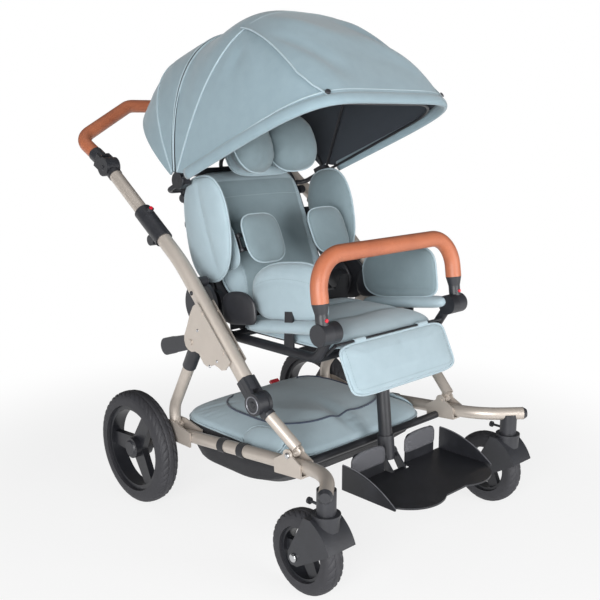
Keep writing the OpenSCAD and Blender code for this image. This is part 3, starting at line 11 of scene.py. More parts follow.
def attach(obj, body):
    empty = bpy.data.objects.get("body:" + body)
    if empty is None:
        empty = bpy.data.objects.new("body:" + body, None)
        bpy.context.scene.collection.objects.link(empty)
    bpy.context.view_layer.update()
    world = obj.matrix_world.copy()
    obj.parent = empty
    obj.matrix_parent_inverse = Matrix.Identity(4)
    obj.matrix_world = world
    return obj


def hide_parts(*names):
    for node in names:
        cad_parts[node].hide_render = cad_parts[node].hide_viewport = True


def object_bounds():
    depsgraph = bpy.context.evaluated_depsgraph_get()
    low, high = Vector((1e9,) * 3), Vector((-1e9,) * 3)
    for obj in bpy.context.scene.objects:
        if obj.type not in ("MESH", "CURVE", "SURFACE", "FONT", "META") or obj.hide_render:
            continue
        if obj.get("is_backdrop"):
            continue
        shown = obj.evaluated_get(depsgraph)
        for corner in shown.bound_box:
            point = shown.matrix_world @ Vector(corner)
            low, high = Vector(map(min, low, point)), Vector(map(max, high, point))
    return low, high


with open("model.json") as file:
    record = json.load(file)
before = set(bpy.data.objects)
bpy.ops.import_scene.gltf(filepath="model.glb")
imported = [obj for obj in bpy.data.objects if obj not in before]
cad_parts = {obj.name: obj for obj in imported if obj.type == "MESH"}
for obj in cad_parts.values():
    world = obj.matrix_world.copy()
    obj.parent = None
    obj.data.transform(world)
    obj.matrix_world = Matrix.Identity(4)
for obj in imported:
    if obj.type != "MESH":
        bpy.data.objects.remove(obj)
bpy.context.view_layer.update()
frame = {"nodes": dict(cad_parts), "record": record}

scene = bpy.context.scene
scene.view_settings.view_transform = "Standard"

# Sizes below are millimetres, with depth measured back from the caster stems as in the part's source
DEPTH_SHIFT = 444.5
RECLINE = math.radians(24.7)
BACK_FOOT_Y, BACK_FOOT_Z = 432, 505
CANOPY_PIVOT = np.array([0, 560, 803])
BASKET_Y, BASKET_TOP, BASKET_DEPTH = 390.3, 217, 122
FLAP_HINGE, FLAP_LEAN = np.array([0, 111, 481]), math.radians(26)
PHOTO_FOCUS, PHOTO_SIDE, FILM = 866.82, 600, 36
SIDES = (("l", 1), ("r", -1))


def row(p):
    """Millimetres with depth from the caster stems become metres in the shared frame."""
    return (np.asarray(p, float) - [0, DEPTH_SHIFT, 0]) / 1000


def unrow(p):
    """Metres in the shared frame become millimetres with depth from the caster stems."""
    return np.asarray(p, float) * 1000 + [0, DEPTH_SHIFT, 0]


# Colours and shader groups


def tint(code):
    """Written screen colour to the linear colour that shaders use."""
    c = np.array([int(code[k:k + 2], 16) for k in (0, 2, 4)]) / 255
    linear = np.where(c <= 0.04045, c / 12.92, ((c + 0.055) / 1.055) ** 2.4)
    return (*linear.tolist(), 1.0)


def feed(tree, node, ins):
    """Feed each named or numbered input of a node from a socket or a value."""
    for key, value in ins.items():
        if isinstance(value, bpy.types.NodeSocket):
            tree.links.new(value, node.inputs[key])
        else:
            node.inputs[key].default_value = value


def put(tree, kind, ins=None, **props):
    """Place a node, set its properties and feed its inputs."""
    node = tree.nodes.new(kind)
    for key, value in props.items():
        setattr(node, key, value)
    feed(tree, node, ins or {})
    return node


def reckon(tree, operation, a, b, clamp=False):
    """Result of one Math node."""
    return put(tree, "ShaderNodeMath", {0: a, 1: b}, operation=operation, use_clamp=clamp).outputs[0]


def vectors(tree, operation, ins, out=0):
    """Result of one Vector Math node."""
    return put(tree, "ShaderNodeVectorMath", ins, operation=operation).outputs[out]


def noise(tree, where, scale, detail, rough=0.5):
    ins = {"Vector": where, "Scale": scale, "Detail": detail, "Roughness": rough}
    return put(tree, "ShaderNodeTexNoise", ins).outputs[0]


def remap(tree, value, low, high, to_low=0.0, to_high=1.0):
    return put(tree, "ShaderNodeMapRange", {0: value, 1: low, 2: high, 3: to_low, 4: to_high}).outputs[0]


def mixed(tree, share, first, second):
    """Two colours mixed by a share."""
    return put(tree, "ShaderNodeMix", {0: share, 6: first, 7: second}, data_type="RGBA").outputs[2]


VEC, NUM, COL = "NodeSocketVector", "NodeSocketFloat", "NodeSocketColor"


def new_group(name, inputs, outputs):
    """An empty shader group with the named sockets; returns its tree, its given sockets and its outputs node."""
    tree = bpy.data.node_groups.new(name, "ShaderNodeTree")
    for label, kind, value in inputs:
        socket = tree.interface.new_socket(name=label, in_out="INPUT", socket_type=kind)
        if value is not None:
            socket.default_value = value
    for label, kind in outputs:
        tree.interface.new_socket(name=label, in_out="OUTPUT", socket_type=kind)
    return tree, tree.nodes.new("NodeGroupInput").outputs, tree.nodes.new("NodeGroupOutput")


def woven_group():
    """Plain weave: sines of the three coordinates are multiplied in pairs, and each pair counts as much as the
    surface faces its third axis. Soft noise varies the yarn's shade over a few centimetres and over a few threads."""
    tree, given, out = new_group("woven_cloth", [
        ("Vector", VEC, None), ("Threads", NUM, 2600.0), ("Yarn", COL, (0.5, 0.5, 0.5, 1)),
        ("Gap", COL, (0.3, 0.3, 0.3, 1)), ("Contrast", NUM, 0.35), ("Mottle", NUM, 0.3)],
        [("Color", COL), ("Height", NUM)])
    here = given["Vector"]
    waves = vectors(tree, "SINE", {0: vectors(tree, "SCALE", {0: here, "Scale": given["Threads"]})})
    part = put(tree, "ShaderNodeSeparateXYZ", {0: waves}).outputs
    first = put(tree, "ShaderNodeCombineXYZ", {0: part[1], 1: part[2], 2: part[0]}).outputs[0]
    second = put(tree, "ShaderNodeCombineXYZ", {0: part[2], 1: part[0], 2: part[1]}).outputs[0]
    face = put(tree, "ShaderNodeNewGeometry").outputs["Normal"]
    pairs = vectors(tree, "MULTIPLY", {0: first, 1: second})
    weight = vectors(tree, "MULTIPLY", {0: face, 1: face})
    height = remap(tree, vectors(tree, "DOT_PRODUCT", {0: pairs, 1: weight}, "Value"), -1.0, 1.0)
    both = reckon(tree, "ADD", noise(tree, here, 38.0, 3.0), noise(tree, here, 760.0, 2.0))
    cloud = reckon(tree, "MULTIPLY", reckon(tree, "SUBTRACT", both, 1.0), given["Mottle"])
    depth = reckon(tree, "MULTIPLY", reckon(tree, "SUBTRACT", 1.0, height), given["Contrast"])
    share = reckon(tree, "ADD", depth, cloud, True)
    feed(tree, out, {"Color": mixed(tree, share, given["Yarn"], given["Gap"]), "Height": height})
    return tree


def grain_group():
    """Moulded or sprayed surface: fine noise for the skin's grain and broad noise for handling marks."""
    tree, given, out = new_group("surface_grain", [
        ("Vector", VEC, None), ("Grain", NUM, 1500.0), ("Broad", NUM, 26.0), ("Base", COL, (0.1, 0.1, 0.1, 1)),
        ("Mark", COL, (0.2, 0.2, 0.2, 1)), ("Marks", NUM, 0.25), ("Rough", NUM, 0.45), ("Spread", NUM, 0.12)],
        [("Color", COL), ("Rough", NUM), ("Height", NUM)])
    fine = noise(tree, given["Vector"], given["Grain"], 2.0)
    broad = noise(tree, given["Vector"], given["Broad"], 5.0, 0.65)
    share = reckon(tree, "MULTIPLY", remap(tree, broad, 0.42, 0.74), given["Marks"], True)
    swing = reckon(tree, "MULTIPLY", reckon(tree, "SUBTRACT", broad, 0.5), given["Spread"])
    feed(tree, out, {"Color": mixed(tree, share, given["Base"], given["Mark"]),
                     "Rough": reckon(tree, "ADD", given["Rough"], swing, True), "Height": fine})
    return tree


def hide_group():
    """Leather: cell pattern for the pores, noise for creases, and a broad change of shade."""
    tree, given, out = new_group("tanned_hide", [
        ("Vector", VEC, None), ("Pores", NUM, 620.0), ("Tan", COL, (0.4, 0.15, 0.06, 1)),
        ("Deep", COL, (0.2, 0.06, 0.02, 1))],
        [("Color", COL), ("Rough", NUM), ("Height", NUM)])
    here = given["Vector"]
    cells = put(tree, "ShaderNodeTexVoronoi", {"Vector": here, "Scale": given["Pores"]}, feature="F1")
    cell = cells.outputs["Distance"]
    creases = noise(tree, here, 240.0, 4.0)
    shade = remap(tree, noise(tree, here, 14.0, 3.0), 0.35, 0.75, 0.0, 0.35)
    both = reckon(tree, "ADD", shade, remap(tree, cell, 0.25, 0.75, 0.0, 0.3), True)
    feed(tree, out, {"Color": mixed(tree, both, given["Tan"], given["Deep"]),
                     "Rough": remap(tree, creases, 0.2, 0.8, 0.36, 0.52),
                     "Height": reckon(tree, "SUBTRACT", creases, cell)})
    return tree


WOVEN, GRAIN, HIDE = woven_group(), grain_group(), hide_group()


def new_material(name, **shader):
    """A material with its Principled shader's plain values set; returns it, its tree, shader and coordinates."""
    material = bpy.data.materials.new(name)
    material.use_nodes = True
    tree = material.node_tree
    lit = tree.nodes["Principled BSDF"]
    feed(tree, lit, {key.replace("_", " "): value for key, value in shader.items()})
    return material, tree, lit, put(tree, "ShaderNodeTexCoord").outputs["Object"]


def dress(tree, lit, height, strength, distance, ins):
    """Feed the shader's inputs, and its normal from a bump of the given height."""
    bump = put(tree, "ShaderNodeBump", {"Height": height, "Strength": strength, "Distance": distance})
    feed(tree, lit, {**ins, "Normal": bump.outputs[0]})


def weave_of(tree, here, yarn, gap, threads, contrast):
    """The woven group with one cloth's own values."""
    return put(tree, "ShaderNodeGroup", {"Vector": here, "Threads": threads, "Yarn": tint(yarn), "Gap": tint(gap),
               "Contrast": contrast}, node_tree=WOVEN).outputs


def cloth(name, yarn, gap, threads=2600.0, contrast=0.35, sheen=0.25, lift=0.5):
    """One colour of woven cloth."""
    material, tree, lit, here = new_material(name, Roughness=0.85, Sheen_Weight=sheen, Sheen_Roughness=0.5)
    weave = weave_of(tree, here, yarn, gap, threads, contrast)
    dress(tree, lit, weave["Height"], lift, 0.0006, {"Base Color": weave["Color"]})
    return material


def two_cloths(name, light, dark, attribute):
    """Two woven cloths on one piece, parted where the piece's own attribute goes from 0 to 1."""
    material, tree, lit, here = new_material(name, Roughness=0.86, Sheen_Weight=0.25, Sheen_Roughness=0.5)
    mask = put(tree, "ShaderNodeAttribute", attribute_name=attribute).outputs["Fac"]
    first, second = (weave_of(tree, here, *look) for look in (light, dark))
    rise = put(tree, "ShaderNodeMix", {0: mask, 2: first["Height"], 3: second["Height"]}, data_type="FLOAT")
    dress(tree, lit, rise.outputs[0], 0.5, 0.0006, {"Base Color": mixed(tree, mask, first["Color"], second["Color"])})
    return material


def grained(name, base, mark, rough, spread=0.12, grain=1500.0, broad=26.0, marks=0.25, lift=0.2, depth=0.0003,
            **shader):
    """Moulded plastic, paint or rubber: one colour with grain, handling marks and uneven gloss."""
    material, tree, lit, here = new_material(name, **shader)
    skin = put(tree, "ShaderNodeGroup", {"Vector": here, "Grain": grain, "Broad": broad, "Base": tint(base),
               "Mark": tint(mark), "Marks": marks, "Rough": rough, "Spread": spread}, node_tree=GRAIN).outputs
    dress(tree, lit, skin["Height"], lift, depth, {"Base Color": skin["Color"], "Roughness": skin["Rough"]})
    return material


def tanned(name, tan, deep):
    """Tan leather of the handle and the bumper bar."""
    material, tree, lit, here = new_material(name, Coat_Weight=0.06, Coat_Roughness=0.4)
    hide = put(tree, "ShaderNodeGroup", {"Vector": here, "Tan": tint(tan), "Deep": tint(deep)}, node_tree=HIDE).outputs
    dress(tree, lit, hide["Height"], 0.25, 0.0006, {"Base Color": hide["Color"], "Roughness": hide["Rough"]})
    return material


LIGHT = ("9fb1b9", "6d828b", 2600.0, 0.3)
KNIT = ("7c8d93", "485960", 1900.0, 0.5)
sage_cloth = cloth("sage_cloth", *LIGHT)
# Canopy cloth: the sage cloth with darker yarn and gap, as painted shade for the canopy's less lit faces
canopy_sage_painted_shade = cloth("canopy_sage_painted_shade", "879ba4", "5c7079", contrast=0.3)
sage_piping = cloth("sage_piping", "a2b4bc", "758a93", threads=3600.0, contrast=0.25)
knit_cloth = cloth("knit_cloth", *KNIT)
faced_cloth = two_cloths("sage_and_knit", LIGHT, KNIT, "knit")
lining_cloth = cloth("canopy_lining", "3a4048", "23272e", contrast=0.4, sheen=0.1)
net_cloth = cloth("basket_net", "202126", "08080a", threads=1700.0, contrast=0.7, sheen=0.05, lift=0.9)
strap_cloth = cloth("hook_band", "26272b", "101114", threads=2200.0, contrast=0.5, sheen=0.1)
navy_piping = cloth("navy_piping", "2f3a4d", "1c2433", threads=3600.0, contrast=0.4)
thread_pale = cloth("pale_thread", "b8c9cb", "93a8ab", threads=5200.0)
thread_dark = cloth("dark_thread", "54686b", "36474a", threads=5200.0)
foam_cap = grained("speckled_foam", "3a3b40", "8b8b90", 0.9, grain=420.0, broad=620.0, marks=0.8, lift=0.6,
                   depth=0.0012)
zip_tape = cloth("zip_tape", "16171c", "07080b", contrast=0.6, sheen=0.05)

frame_paint = grained("champagne_paint", "bdb4ab", "aaa198", 0.42, spread=0.06, grain=1200.0, marks=0.3, lift=0.03,
                      depth=0.0001, Metallic=0.45, Coat_Weight=0.15, Coat_Roughness=0.3)
black_plastic = grained("black_plastic", "27282c", "3a3b41", 0.42, marks=0.3, lift=0.22)
black_coat = grained("black_powder_coat", "1d1e22", "33343a", 0.4, grain=1900.0, marks=0.35, lift=0.3)
rim_plastic = grained("rim_plastic", "1e1f23", "303137", 0.36, marks=0.3, lift=0.15)
tyre_rubber = grained("tyre_rubber", "2a2a2e", "3d3d42", 0.62, marks=0.4, lift=0.35, broad=40.0)
red_plastic = grained("red_plastic", "cf2031", "a31524", 0.28, marks=0.3, lift=0.05, Coat_Weight=0.3)
tan_leather = tanned("tan_leather", "b9704f", "874733")
bright_steel = grained("bright_steel", "c9cacc", "a4a5a8", 0.22, spread=0.2, marks=0.4, lift=0.05, Metallic=1.0)
# Lighter grey, partly metallic: edge wear, and on the footplate's walls a painted highlight along the sheet's edge
worn_edge_and_painted_highlight = grained("worn_edge_and_painted_highlight", "8f9096", "55565c", 0.35, spread=0.2, broad=60.0, marks=0.6, lift=0.1, Metallic=0.6)

SLOT_LOOK = {"frame_tube": frame_paint, "black_plastic": black_plastic, "black_metal": black_coat,
             "basket_cloth": strap_cloth, "tyre": tyre_rubber, "rim": rim_plastic, "light_fabric": sage_cloth,
             "dark_fabric": knit_cloth, "leather": tan_leather, "red_plastic": red_plastic}
for part in frame["record"]["subparts"]:
    node = frame["nodes"][part["node"]]
    node.data.materials.clear()
    node.data.materials.append(SLOT_LOOK[part["material_slot"]])

# Surface makers


def unit(v):
    v = np.asarray(v, float)
    return v / np.maximum(np.linalg.norm(v, axis=-1, keepdims=True), 1e-12)


def signed_power(v, power):
    return np.sign(v) * np.abs(v) ** power


def soft_step(x, low, high):
    t = np.clip((x - low) / (high - low), 0, 1)
    return t * t * (3 - 2 * t)


def flip(faces):
    return [face[::-1] for face in faces]


def quads(rows, cols, close_rows=False, close_cols=False, start=0):
    """Faces of a grid of rows by cols points, optionally joined end to end either way."""
    i = np.arange(rows if close_rows else rows - 1)[:, None]
    j = np.arange(cols if close_cols else cols - 1)[None, :]
    i2, j2 = (i + 1) % rows, (j + 1) % cols
    return (np.stack([i * cols + j, i * cols + j2, i2 * cols + j2, i2 * cols + j], -1).reshape(-1, 4) + start).tolist()


def tube_faces(rows, cols, closed=False):
    """Faces of rows rings of cols points, joined end to end or with a face over each end."""
    ends = [] if closed else [list(range(cols))[::-1], list(range((rows - 1) * cols, rows * cols))]
    return quads(rows, cols, closed, True) + ends


def two_sided(top, low):
    """A cloth's upper and lower grids of points as one closed skin, with a strip of faces round their edges."""
    rows, cols = top.shape[:2]
    total = rows * cols
    at = np.arange(total).reshape(rows, cols)
    edge = np.concatenate([at[-1, :-1], at[:0:-1, -1], at[0, :0:-1], at[:-1, 0]])
    ahead = np.roll(edge, -1)
    strip = np.stack([edge, ahead, ahead + total, edge + total], -1).tolist()
    faces = quads(rows, cols) + flip(quads(rows, cols, start=total)) + strip
    return np.concatenate([top, low]).reshape(-1, 3), faces


def piece(name, points, faces, material, body, slot=None, sharp=None):
    """Mesh object from points in millimetres, smooth but for edges past an angle, riding on a body."""
    mesh = bpy.data.meshes.new(name)
    mesh.from_pydata(row(points).tolist(), [], faces)
    mesh.polygons.foreach_set("use_smooth", np.ones(len(mesh.polygons), bool))
    if sharp:
        mesh.set_sharp_from_angle(angle=math.radians(sharp))
    mesh.materials.append(material)
    obj = bpy.data.objects.new(name, mesh)
    scene.collection.objects.link(obj)
    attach(obj, body)
    return obj


def lengths(p):
    """Distance run along a line up to each of its points."""
    return np.concatenate([[0], np.cumsum(np.linalg.norm(np.diff(p, axis=0), axis=1))])


def even(points, count, closed=True):
    """The same line with count points spaced evenly along its length."""
    p = np.vstack([points, points[:1]]) if closed else np.asarray(points, float)
    run = lengths(p)
    at = np.linspace(0, run[-1], count, endpoint=not closed)
    return np.stack([np.interp(at, run, p[:, k]) for k in range(p.shape[1])], -1)


def along(path, closed):
    """Unit direction of a line at each of its points, by central differences."""
    p = np.asarray(path, float)
    ahead = np.roll(p, -1, 0) if closed else np.vstack([p[1:], 2 * p[-1:] - p[-2:-1]])
    behind = np.roll(p, 1, 0) if closed else np.vstack([2 * p[:1] - p[1:2], p[:-1]])
    return unit(ahead - behind)


def swept(path, up, profile, closed=False):
    """A profile carried along a path: profile point (a, b) goes a along the side direction and b along up."""
    path, profile = np.asarray(path, float), np.asarray(profile, float)
    way = along(path, closed)
    side = unit(np.cross(way, np.broadcast_to(np.asarray(up, float), path.shape)))
    over = np.cross(side, way)
    points = path[:, None] + profile[None, :, :1] * side[:, None] + profile[None, :, 1:] * over[:, None]
    return points.reshape(-1, 3), flip(tube_faces(len(path), len(profile), closed))


def ring_profile(radius, sides=10, flat=1.0):
    """A circle, or an ellipse whose height is flat times its width."""
    a = np.linspace(0, 2 * np.pi, sides, endpoint=False)
    return np.stack([radius * np.cos(a), radius * flat * np.sin(a)], -1)


def strap_profile(half, low, high):
    """A flat band 2 half wide, from low to high over its path."""
    return [(-half, low), (half, low), (half, high), (-half, high)]


def joined(parts):
    """Several (points, faces) sets as one."""
    points, faces, start = [], [], 0
    for p, f in parts:
        points.append(p)
        faces += [[k + start for k in face] for face in f]
        start += len(p)
    return np.vstack(points), faces


def stitch_row(path, normals, pitch=6.0, length=3.6, radius=0.5, lift=0.3):
    """A row of sewing stitches: each is a stretched octahedron of six points lying along the path."""
    count = max(2, int(lengths(path)[-1] / pitch))
    up = unit(even(normals, count, False))
    p = even(path, count, False)
    way = along(p, False)
    side = unit(np.cross(way, up))
    p = p + lift * up
    corners = np.stack([p - way * length / 2, p + side * radius, p + up * radius, p - side * radius, p - up * radius,
                        p + way * length / 2], 1).reshape(-1, 3)
    base = np.array([[0, 1, 2], [0, 2, 3], [0, 3, 4], [0, 4, 1], [5, 2, 1], [5, 3, 2], [5, 4, 3], [5, 1, 4]])
    return corners, (base[None] + 6 * np.arange(count)[:, None, None]).reshape(-1, 3).tolist()


def turned(profile, origin, axis, sides=24):
    """A profile of (radius, height) turned about an axis through origin, with a face over each end."""
    profile = np.asarray(profile, float)
    axis = unit(axis)
    e = unit(np.cross(axis, [0.3, 0.5, 0.8] if abs(axis[0]) > 0.9 else [1, 0, 0]))
    a = np.linspace(0, 2 * np.pi, sides, endpoint=False)
    spoke = np.cos(a)[:, None] * e + np.sin(a)[:, None] * np.cross(axis, e)
    points = np.asarray(origin, float) + profile[:, None, :1] * spoke[None] + profile[:, None, 1:] * axis
    return points.reshape(-1, 3), tube_faces(len(profile), sides)


def dome(radius, height, lip=0.8):
    """Profile of a low domed head with a small straight lip."""
    a = np.linspace(0, np.pi / 2, 7)[1:-1]
    crown = np.stack([radius * np.cos(a), lip + (height - lip) * np.sin(a)], -1)
    return np.vstack([[radius, -1.0], [radius, lip], crown, [radius * 0.04, height]])


def touch(node, side, y, z):
    """Where a line across the buggy, coming in from one side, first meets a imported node, in millimetres."""
    obj = frame["nodes"][node]
    back = obj.matrix_world.inverted()
    hit, where, _, _ = obj.ray_cast(back @ Vector(row((side * 420, y, z))), back.to_3x3() @ Vector((-side, 0, 0)))
    if not hit:
        raise ValueError(f"nothing of {node} on that line")
    return unrow(obj.matrix_world @ where)


def heads(name, body, node, spots, material, sides=(1, -1)):
    """Domed heads of bolts or rivets on a node's outer sides: each spot is (depth, height, radius, rise)."""
    domes = [turned(dome(radius, rise), touch(node, side, y, z), (side, 0, 0))
             for side in sides for y, z, radius, rise in spots]
    return piece(name, *joined(domes), material, body, sharp=40)


# Pads

ACROSS, REAR, UP = np.eye(3)
UPRIGHT = (ACROSS, REAR, UP)


def leaning(angle):
    """Axes of a panel that leans back by an angle: across, up the panel, and out of its front."""
    sin, cos = math.sin(angle), math.cos(angle)
    return ACROSS, np.array([0, sin, cos]), np.array([0, -cos, sin])


BACK_AXES, FLAP_AXES = leaning(RECLINE), leaning(FLAP_LEAN)


def on_back(x, s, n):
    """Places drawn flat on the back: x across, s up the back, n towards the child."""
    return np.array([x, BACK_FOOT_Y, BACK_FOOT_Z]) + s * BACK_AXES[1] + n * BACK_AXES[2]


def turn_axes(axes, pair, degrees):
    """Two of three axes turned in their own plane."""
    a, b = pair
    c, s = math.cos(math.radians(degrees)), math.sin(math.radians(degrees))
    out = list(axes)
    out[a], out[b] = c * axes[a] + s * axes[b], c * axes[b] - s * axes[a]
    return tuple(out)


class Pad:
    """A stuffed pad drawn flat: its outline is |x/a|^p + |y/b|^p = 1 with its own p in each quadrant, and a point at
    the share s of the way out stands front (1 - s^fullness)^(1/2) above the seam, or back times that below it."""

    def __init__(self, width, height, front, back, powers, origin, axes, fullness=3.0, relief=None):
        self.half = np.array([width / 2, height / 2])
        self.front, self.back, self.powers, self.fullness = front, back, powers, fullness
        self.origin, self.axes, self.relief = np.asarray(origin, float), axes, relief

    def power(self, x, y):
        p = self.powers
        return np.where(x >= 0, np.where(y >= 0, p[0], p[3]), np.where(y >= 0, p[1], p[2]))

    def outline(self, count):
        t = np.linspace(0, 2 * np.pi, 1600, endpoint=False)
        round_line = np.stack([np.cos(t), np.sin(t)], -1)
        return even(signed_power(round_line, 2 / self.power(*round_line.T)[:, None]) * self.half, count)

    def share(self, x, y):
        p = self.power(x, y)
        return (np.abs(x / self.half[0]) ** p + np.abs(y / self.half[1]) ** p) ** (1 / p)

    def level(self, x, y, side):
        s = np.clip(self.share(x, y), 0, 1)
        z = (self.front if side > 0 else -self.back) * np.sqrt(np.maximum(0, 1 - s ** self.fullness))
        if self.relief is not None:
            z = z + side * self.relief(x, y, side) * (1 - s ** 6)
        return z

    def world(self, x, y, z):
        x, y, z = (np.asarray(v, float)[..., None] for v in (x, y, z))
        return self.origin + x * self.axes[0] + y * self.axes[1] + z * self.axes[2]

    def skin(self, x, y, side, lift=0.0):
        """Places on the pad's front or back over (x, y)."""
        return self.world(x, y, self.level(x, y, side) + side * lift)

    def surface(self, around=128, rings=20):
        edge = self.outline(around)
        s = np.sin(np.linspace(0, np.pi / 2, rings + 1))[1:]
        x, y = np.moveaxis(edge[None] * s[:, None, None], -1, 0)
        grid = np.concatenate([self.skin(x, y, 1), self.skin(x[:-1], y[:-1], -1)[::-1]]).reshape(-1, 3)
        zero = np.zeros(1)
        rows = 2 * rings - 1
        j = np.arange(around)
        ahead, last = (j + 1) % around, (rows - 1) * around
        faces = quads(rows, around, False, True)
        faces += np.stack([np.full(around, rows * around), ahead, j], -1).tolist()
        faces += np.stack([np.full(around, rows * around + 1), last + j, last + ahead], -1).tolist()
        if np.linalg.det(np.stack(self.axes)) > 0:
            faces = flip(faces)
        return np.vstack([grid, self.skin(zero, zero, 1), self.skin(zero, zero, -1)]), faces

    def local(self, points):
        """Places in millimetres as (x, y, z) of the pad."""
        return ((np.asarray(points) - self.origin) @ np.stack(self.axes).T).T


def places(mesh):
    """A mesh's points in millimetres, with depth from the caster stems."""
    co = np.empty(len(mesh.vertices) * 3)
    mesh.vertices.foreach_get("co", co)
    return unrow(co.reshape(-1, 3))


def shown_mesh(obj):
    return bpy.data.meshes.new_from_object(obj.evaluated_get(bpy.context.evaluated_depsgraph_get()))


CLOTH_STEP, FILL_PRESSURE, FILL_FRAMES = 5.0, 4.0, 20


def stuffed(obj, cap, pinned):
    """Fill a closed pad as sewn cloth: remesh it, hold the points that pinned(places) marks, press the rest outwards
    for some frames with no gravity, let no point move further than cap, and smooth the result with one subdivision."""
    remesh = obj.modifiers.new("even_cloth", "REMESH")
    remesh.mode, remesh.voxel_size, remesh.use_smooth_shade = "VOXEL", CLOTH_STEP / 1000, True
    mesh = shown_mesh(obj)
    obj.modifiers.clear()
    old, obj.data = obj.data, mesh
    bpy.data.meshes.remove(old)
    rest = places(mesh)
    group = obj.vertex_groups.new(name="sewn")
    group.add(np.nonzero(pinned(rest))[0].tolist(), 1.0, "REPLACE")
    filling = obj.modifiers.new("filling", "CLOTH")
    s = filling.settings
    s.use_pressure, s.uniform_pressure_force, s.vertex_group_mass = True, FILL_PRESSURE, "sewn"
    s.quality, s.mass, s.tension_stiffness, s.bending_stiffness = 5, 0.3, 12.0, 0.6
    s.effector_weights.gravity = 0
    for f in range(1, FILL_FRAMES + 1):
        scene.frame_set(f)
    swollen = shown_mesh(obj)
    step = places(swollen) - rest
    obj.modifiers.clear()
    obj.vertex_groups.clear()
    bpy.data.meshes.remove(swollen)
    scene.frame_set(1)
    reach = np.linalg.norm(step, axis=1, keepdims=True)
    rest = rest + step * np.minimum(1, cap / np.maximum(reach, 1e-9))
    mesh.vertices.foreach_set("co", row(rest).ravel())
    mesh.polygons.foreach_set("use_smooth", np.ones(len(mesh.polygons), bool))
    mesh.update()
    smooth = obj.modifiers.new("smooth", "SUBSURF")
    smooth.levels = smooth.render_levels = 1


def settle(obj, points, lift):
    """Points brought to the nearest place on a piece's surface and raised by lift; returns them and the normals."""
    mesh = shown_mesh(obj)
    tree = BVHTree.FromPolygons(row(places(mesh)).tolist(), [tuple(p.vertices) for p in mesh.polygons])
    hits = [tree.find_nearest(Vector(p)) for p in row(points)]
    bpy.data.meshes.remove(mesh)
    normals = np.array([h[1] for h in hits])
    return unrow([h[0] for h in hits]) + lift * normals, normals


def crease(distance, depth, width):
    """A sewn line's dip: depth at the line, fading with the square of the distance over width."""
    return -depth * np.exp(-(distance / width) ** 2)


def make_pad(name, pad, material, body, slot, nodes=(), cap=5.0, pins=None, knit=None, cord=2.4):
    """Surface, filling, share of knitted cloth and edge piping of one pad."""
    obj = piece(name, *pad.surface(), material, body, slot)
    for node in nodes:
        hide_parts(node)

    def held(p):
        x, y, z = pad.local(p)
        edge = pad.share(x, y) > 0.965
        return edge if pins is None else edge | pins(x, y, z)

    stuffed(obj, cap, held)
    if knit is not None:
        values = knit(*pad.local(places(obj.data))).astype(np.float32)
        obj.data.attributes.new("knit", "FLOAT", "POINT").data.foreach_set("value", values)
    x, y = pad.outline(180).T
    cording = swept(pad.world(x, y, np.zeros_like(x)), pad.axes[2], ring_profile(cord), closed=True)
    piece(name + "_piping", *cording, sage_piping, body, slot)
    return obj


def sewn_line(name, obj, pad, xy, side, body, thread):
    """A row of stitches laid on a pad along a line of (x, y) places."""
    x, y = even(np.asarray(xy, float), 90, closed=False).T
    return piece(name, *stitch_row(*settle(obj, pad.skin(x, y, side, 3), 0.2)), thread, body)


# Seat

SEAT_CHANNELS = (-52, 60)


def seat_relief(x, y, side):
    """Two sewn channels across the seat, a dimple in the front one, and soft folds along its front edge."""
    lines = sum(crease(y - line, 6.0, 9.0) for line in SEAT_CHANNELS)
    folds = 1.4 * np.sin(x / 17 + 0.8 * np.sin(y / 31)) * soft_step(-y, 60, 140)
    return (lines + folds - 3.0 * np.exp(-((x / 40) ** 2 + ((y + 52) / 30) ** 2))) * (side > 0)


seat_pad = Pad(368, 308, 36, 7, (7, 7, 7, 7), (0, 272, 469.3), UPRIGHT, 4.5, seat_relief)
seat = make_pad("seat_pad", seat_pad, sage_cloth, "seat", "light_fabric", ["seat_cushion"], 4.0,
                lambda x, y, z: (z > 0) & (np.min([abs(y - line) for line in SEAT_CHANNELS], 0) < 4))
for k, line in enumerate(SEAT_CHANNELS):
    sewn_line(f"seat_stitch_{k}", seat, seat_pad, [(-172, line), (172, line)], 1, "seat", thread_dark)


def roll_seam(x):
    """Height on a thigh pad of the seam under its top roll."""
    return 26 - 0.0016 * x * x


THIGH_SEAM = -42


def thigh_relief(x, y, side):
    """Outside: the seam under the top roll. Inside: the seam over the lower edge."""
    return crease(y - roll_seam(x), 5.0, 8.0) if side > 0 else crease(y - THIGH_SEAM, 4.0, 6.0)


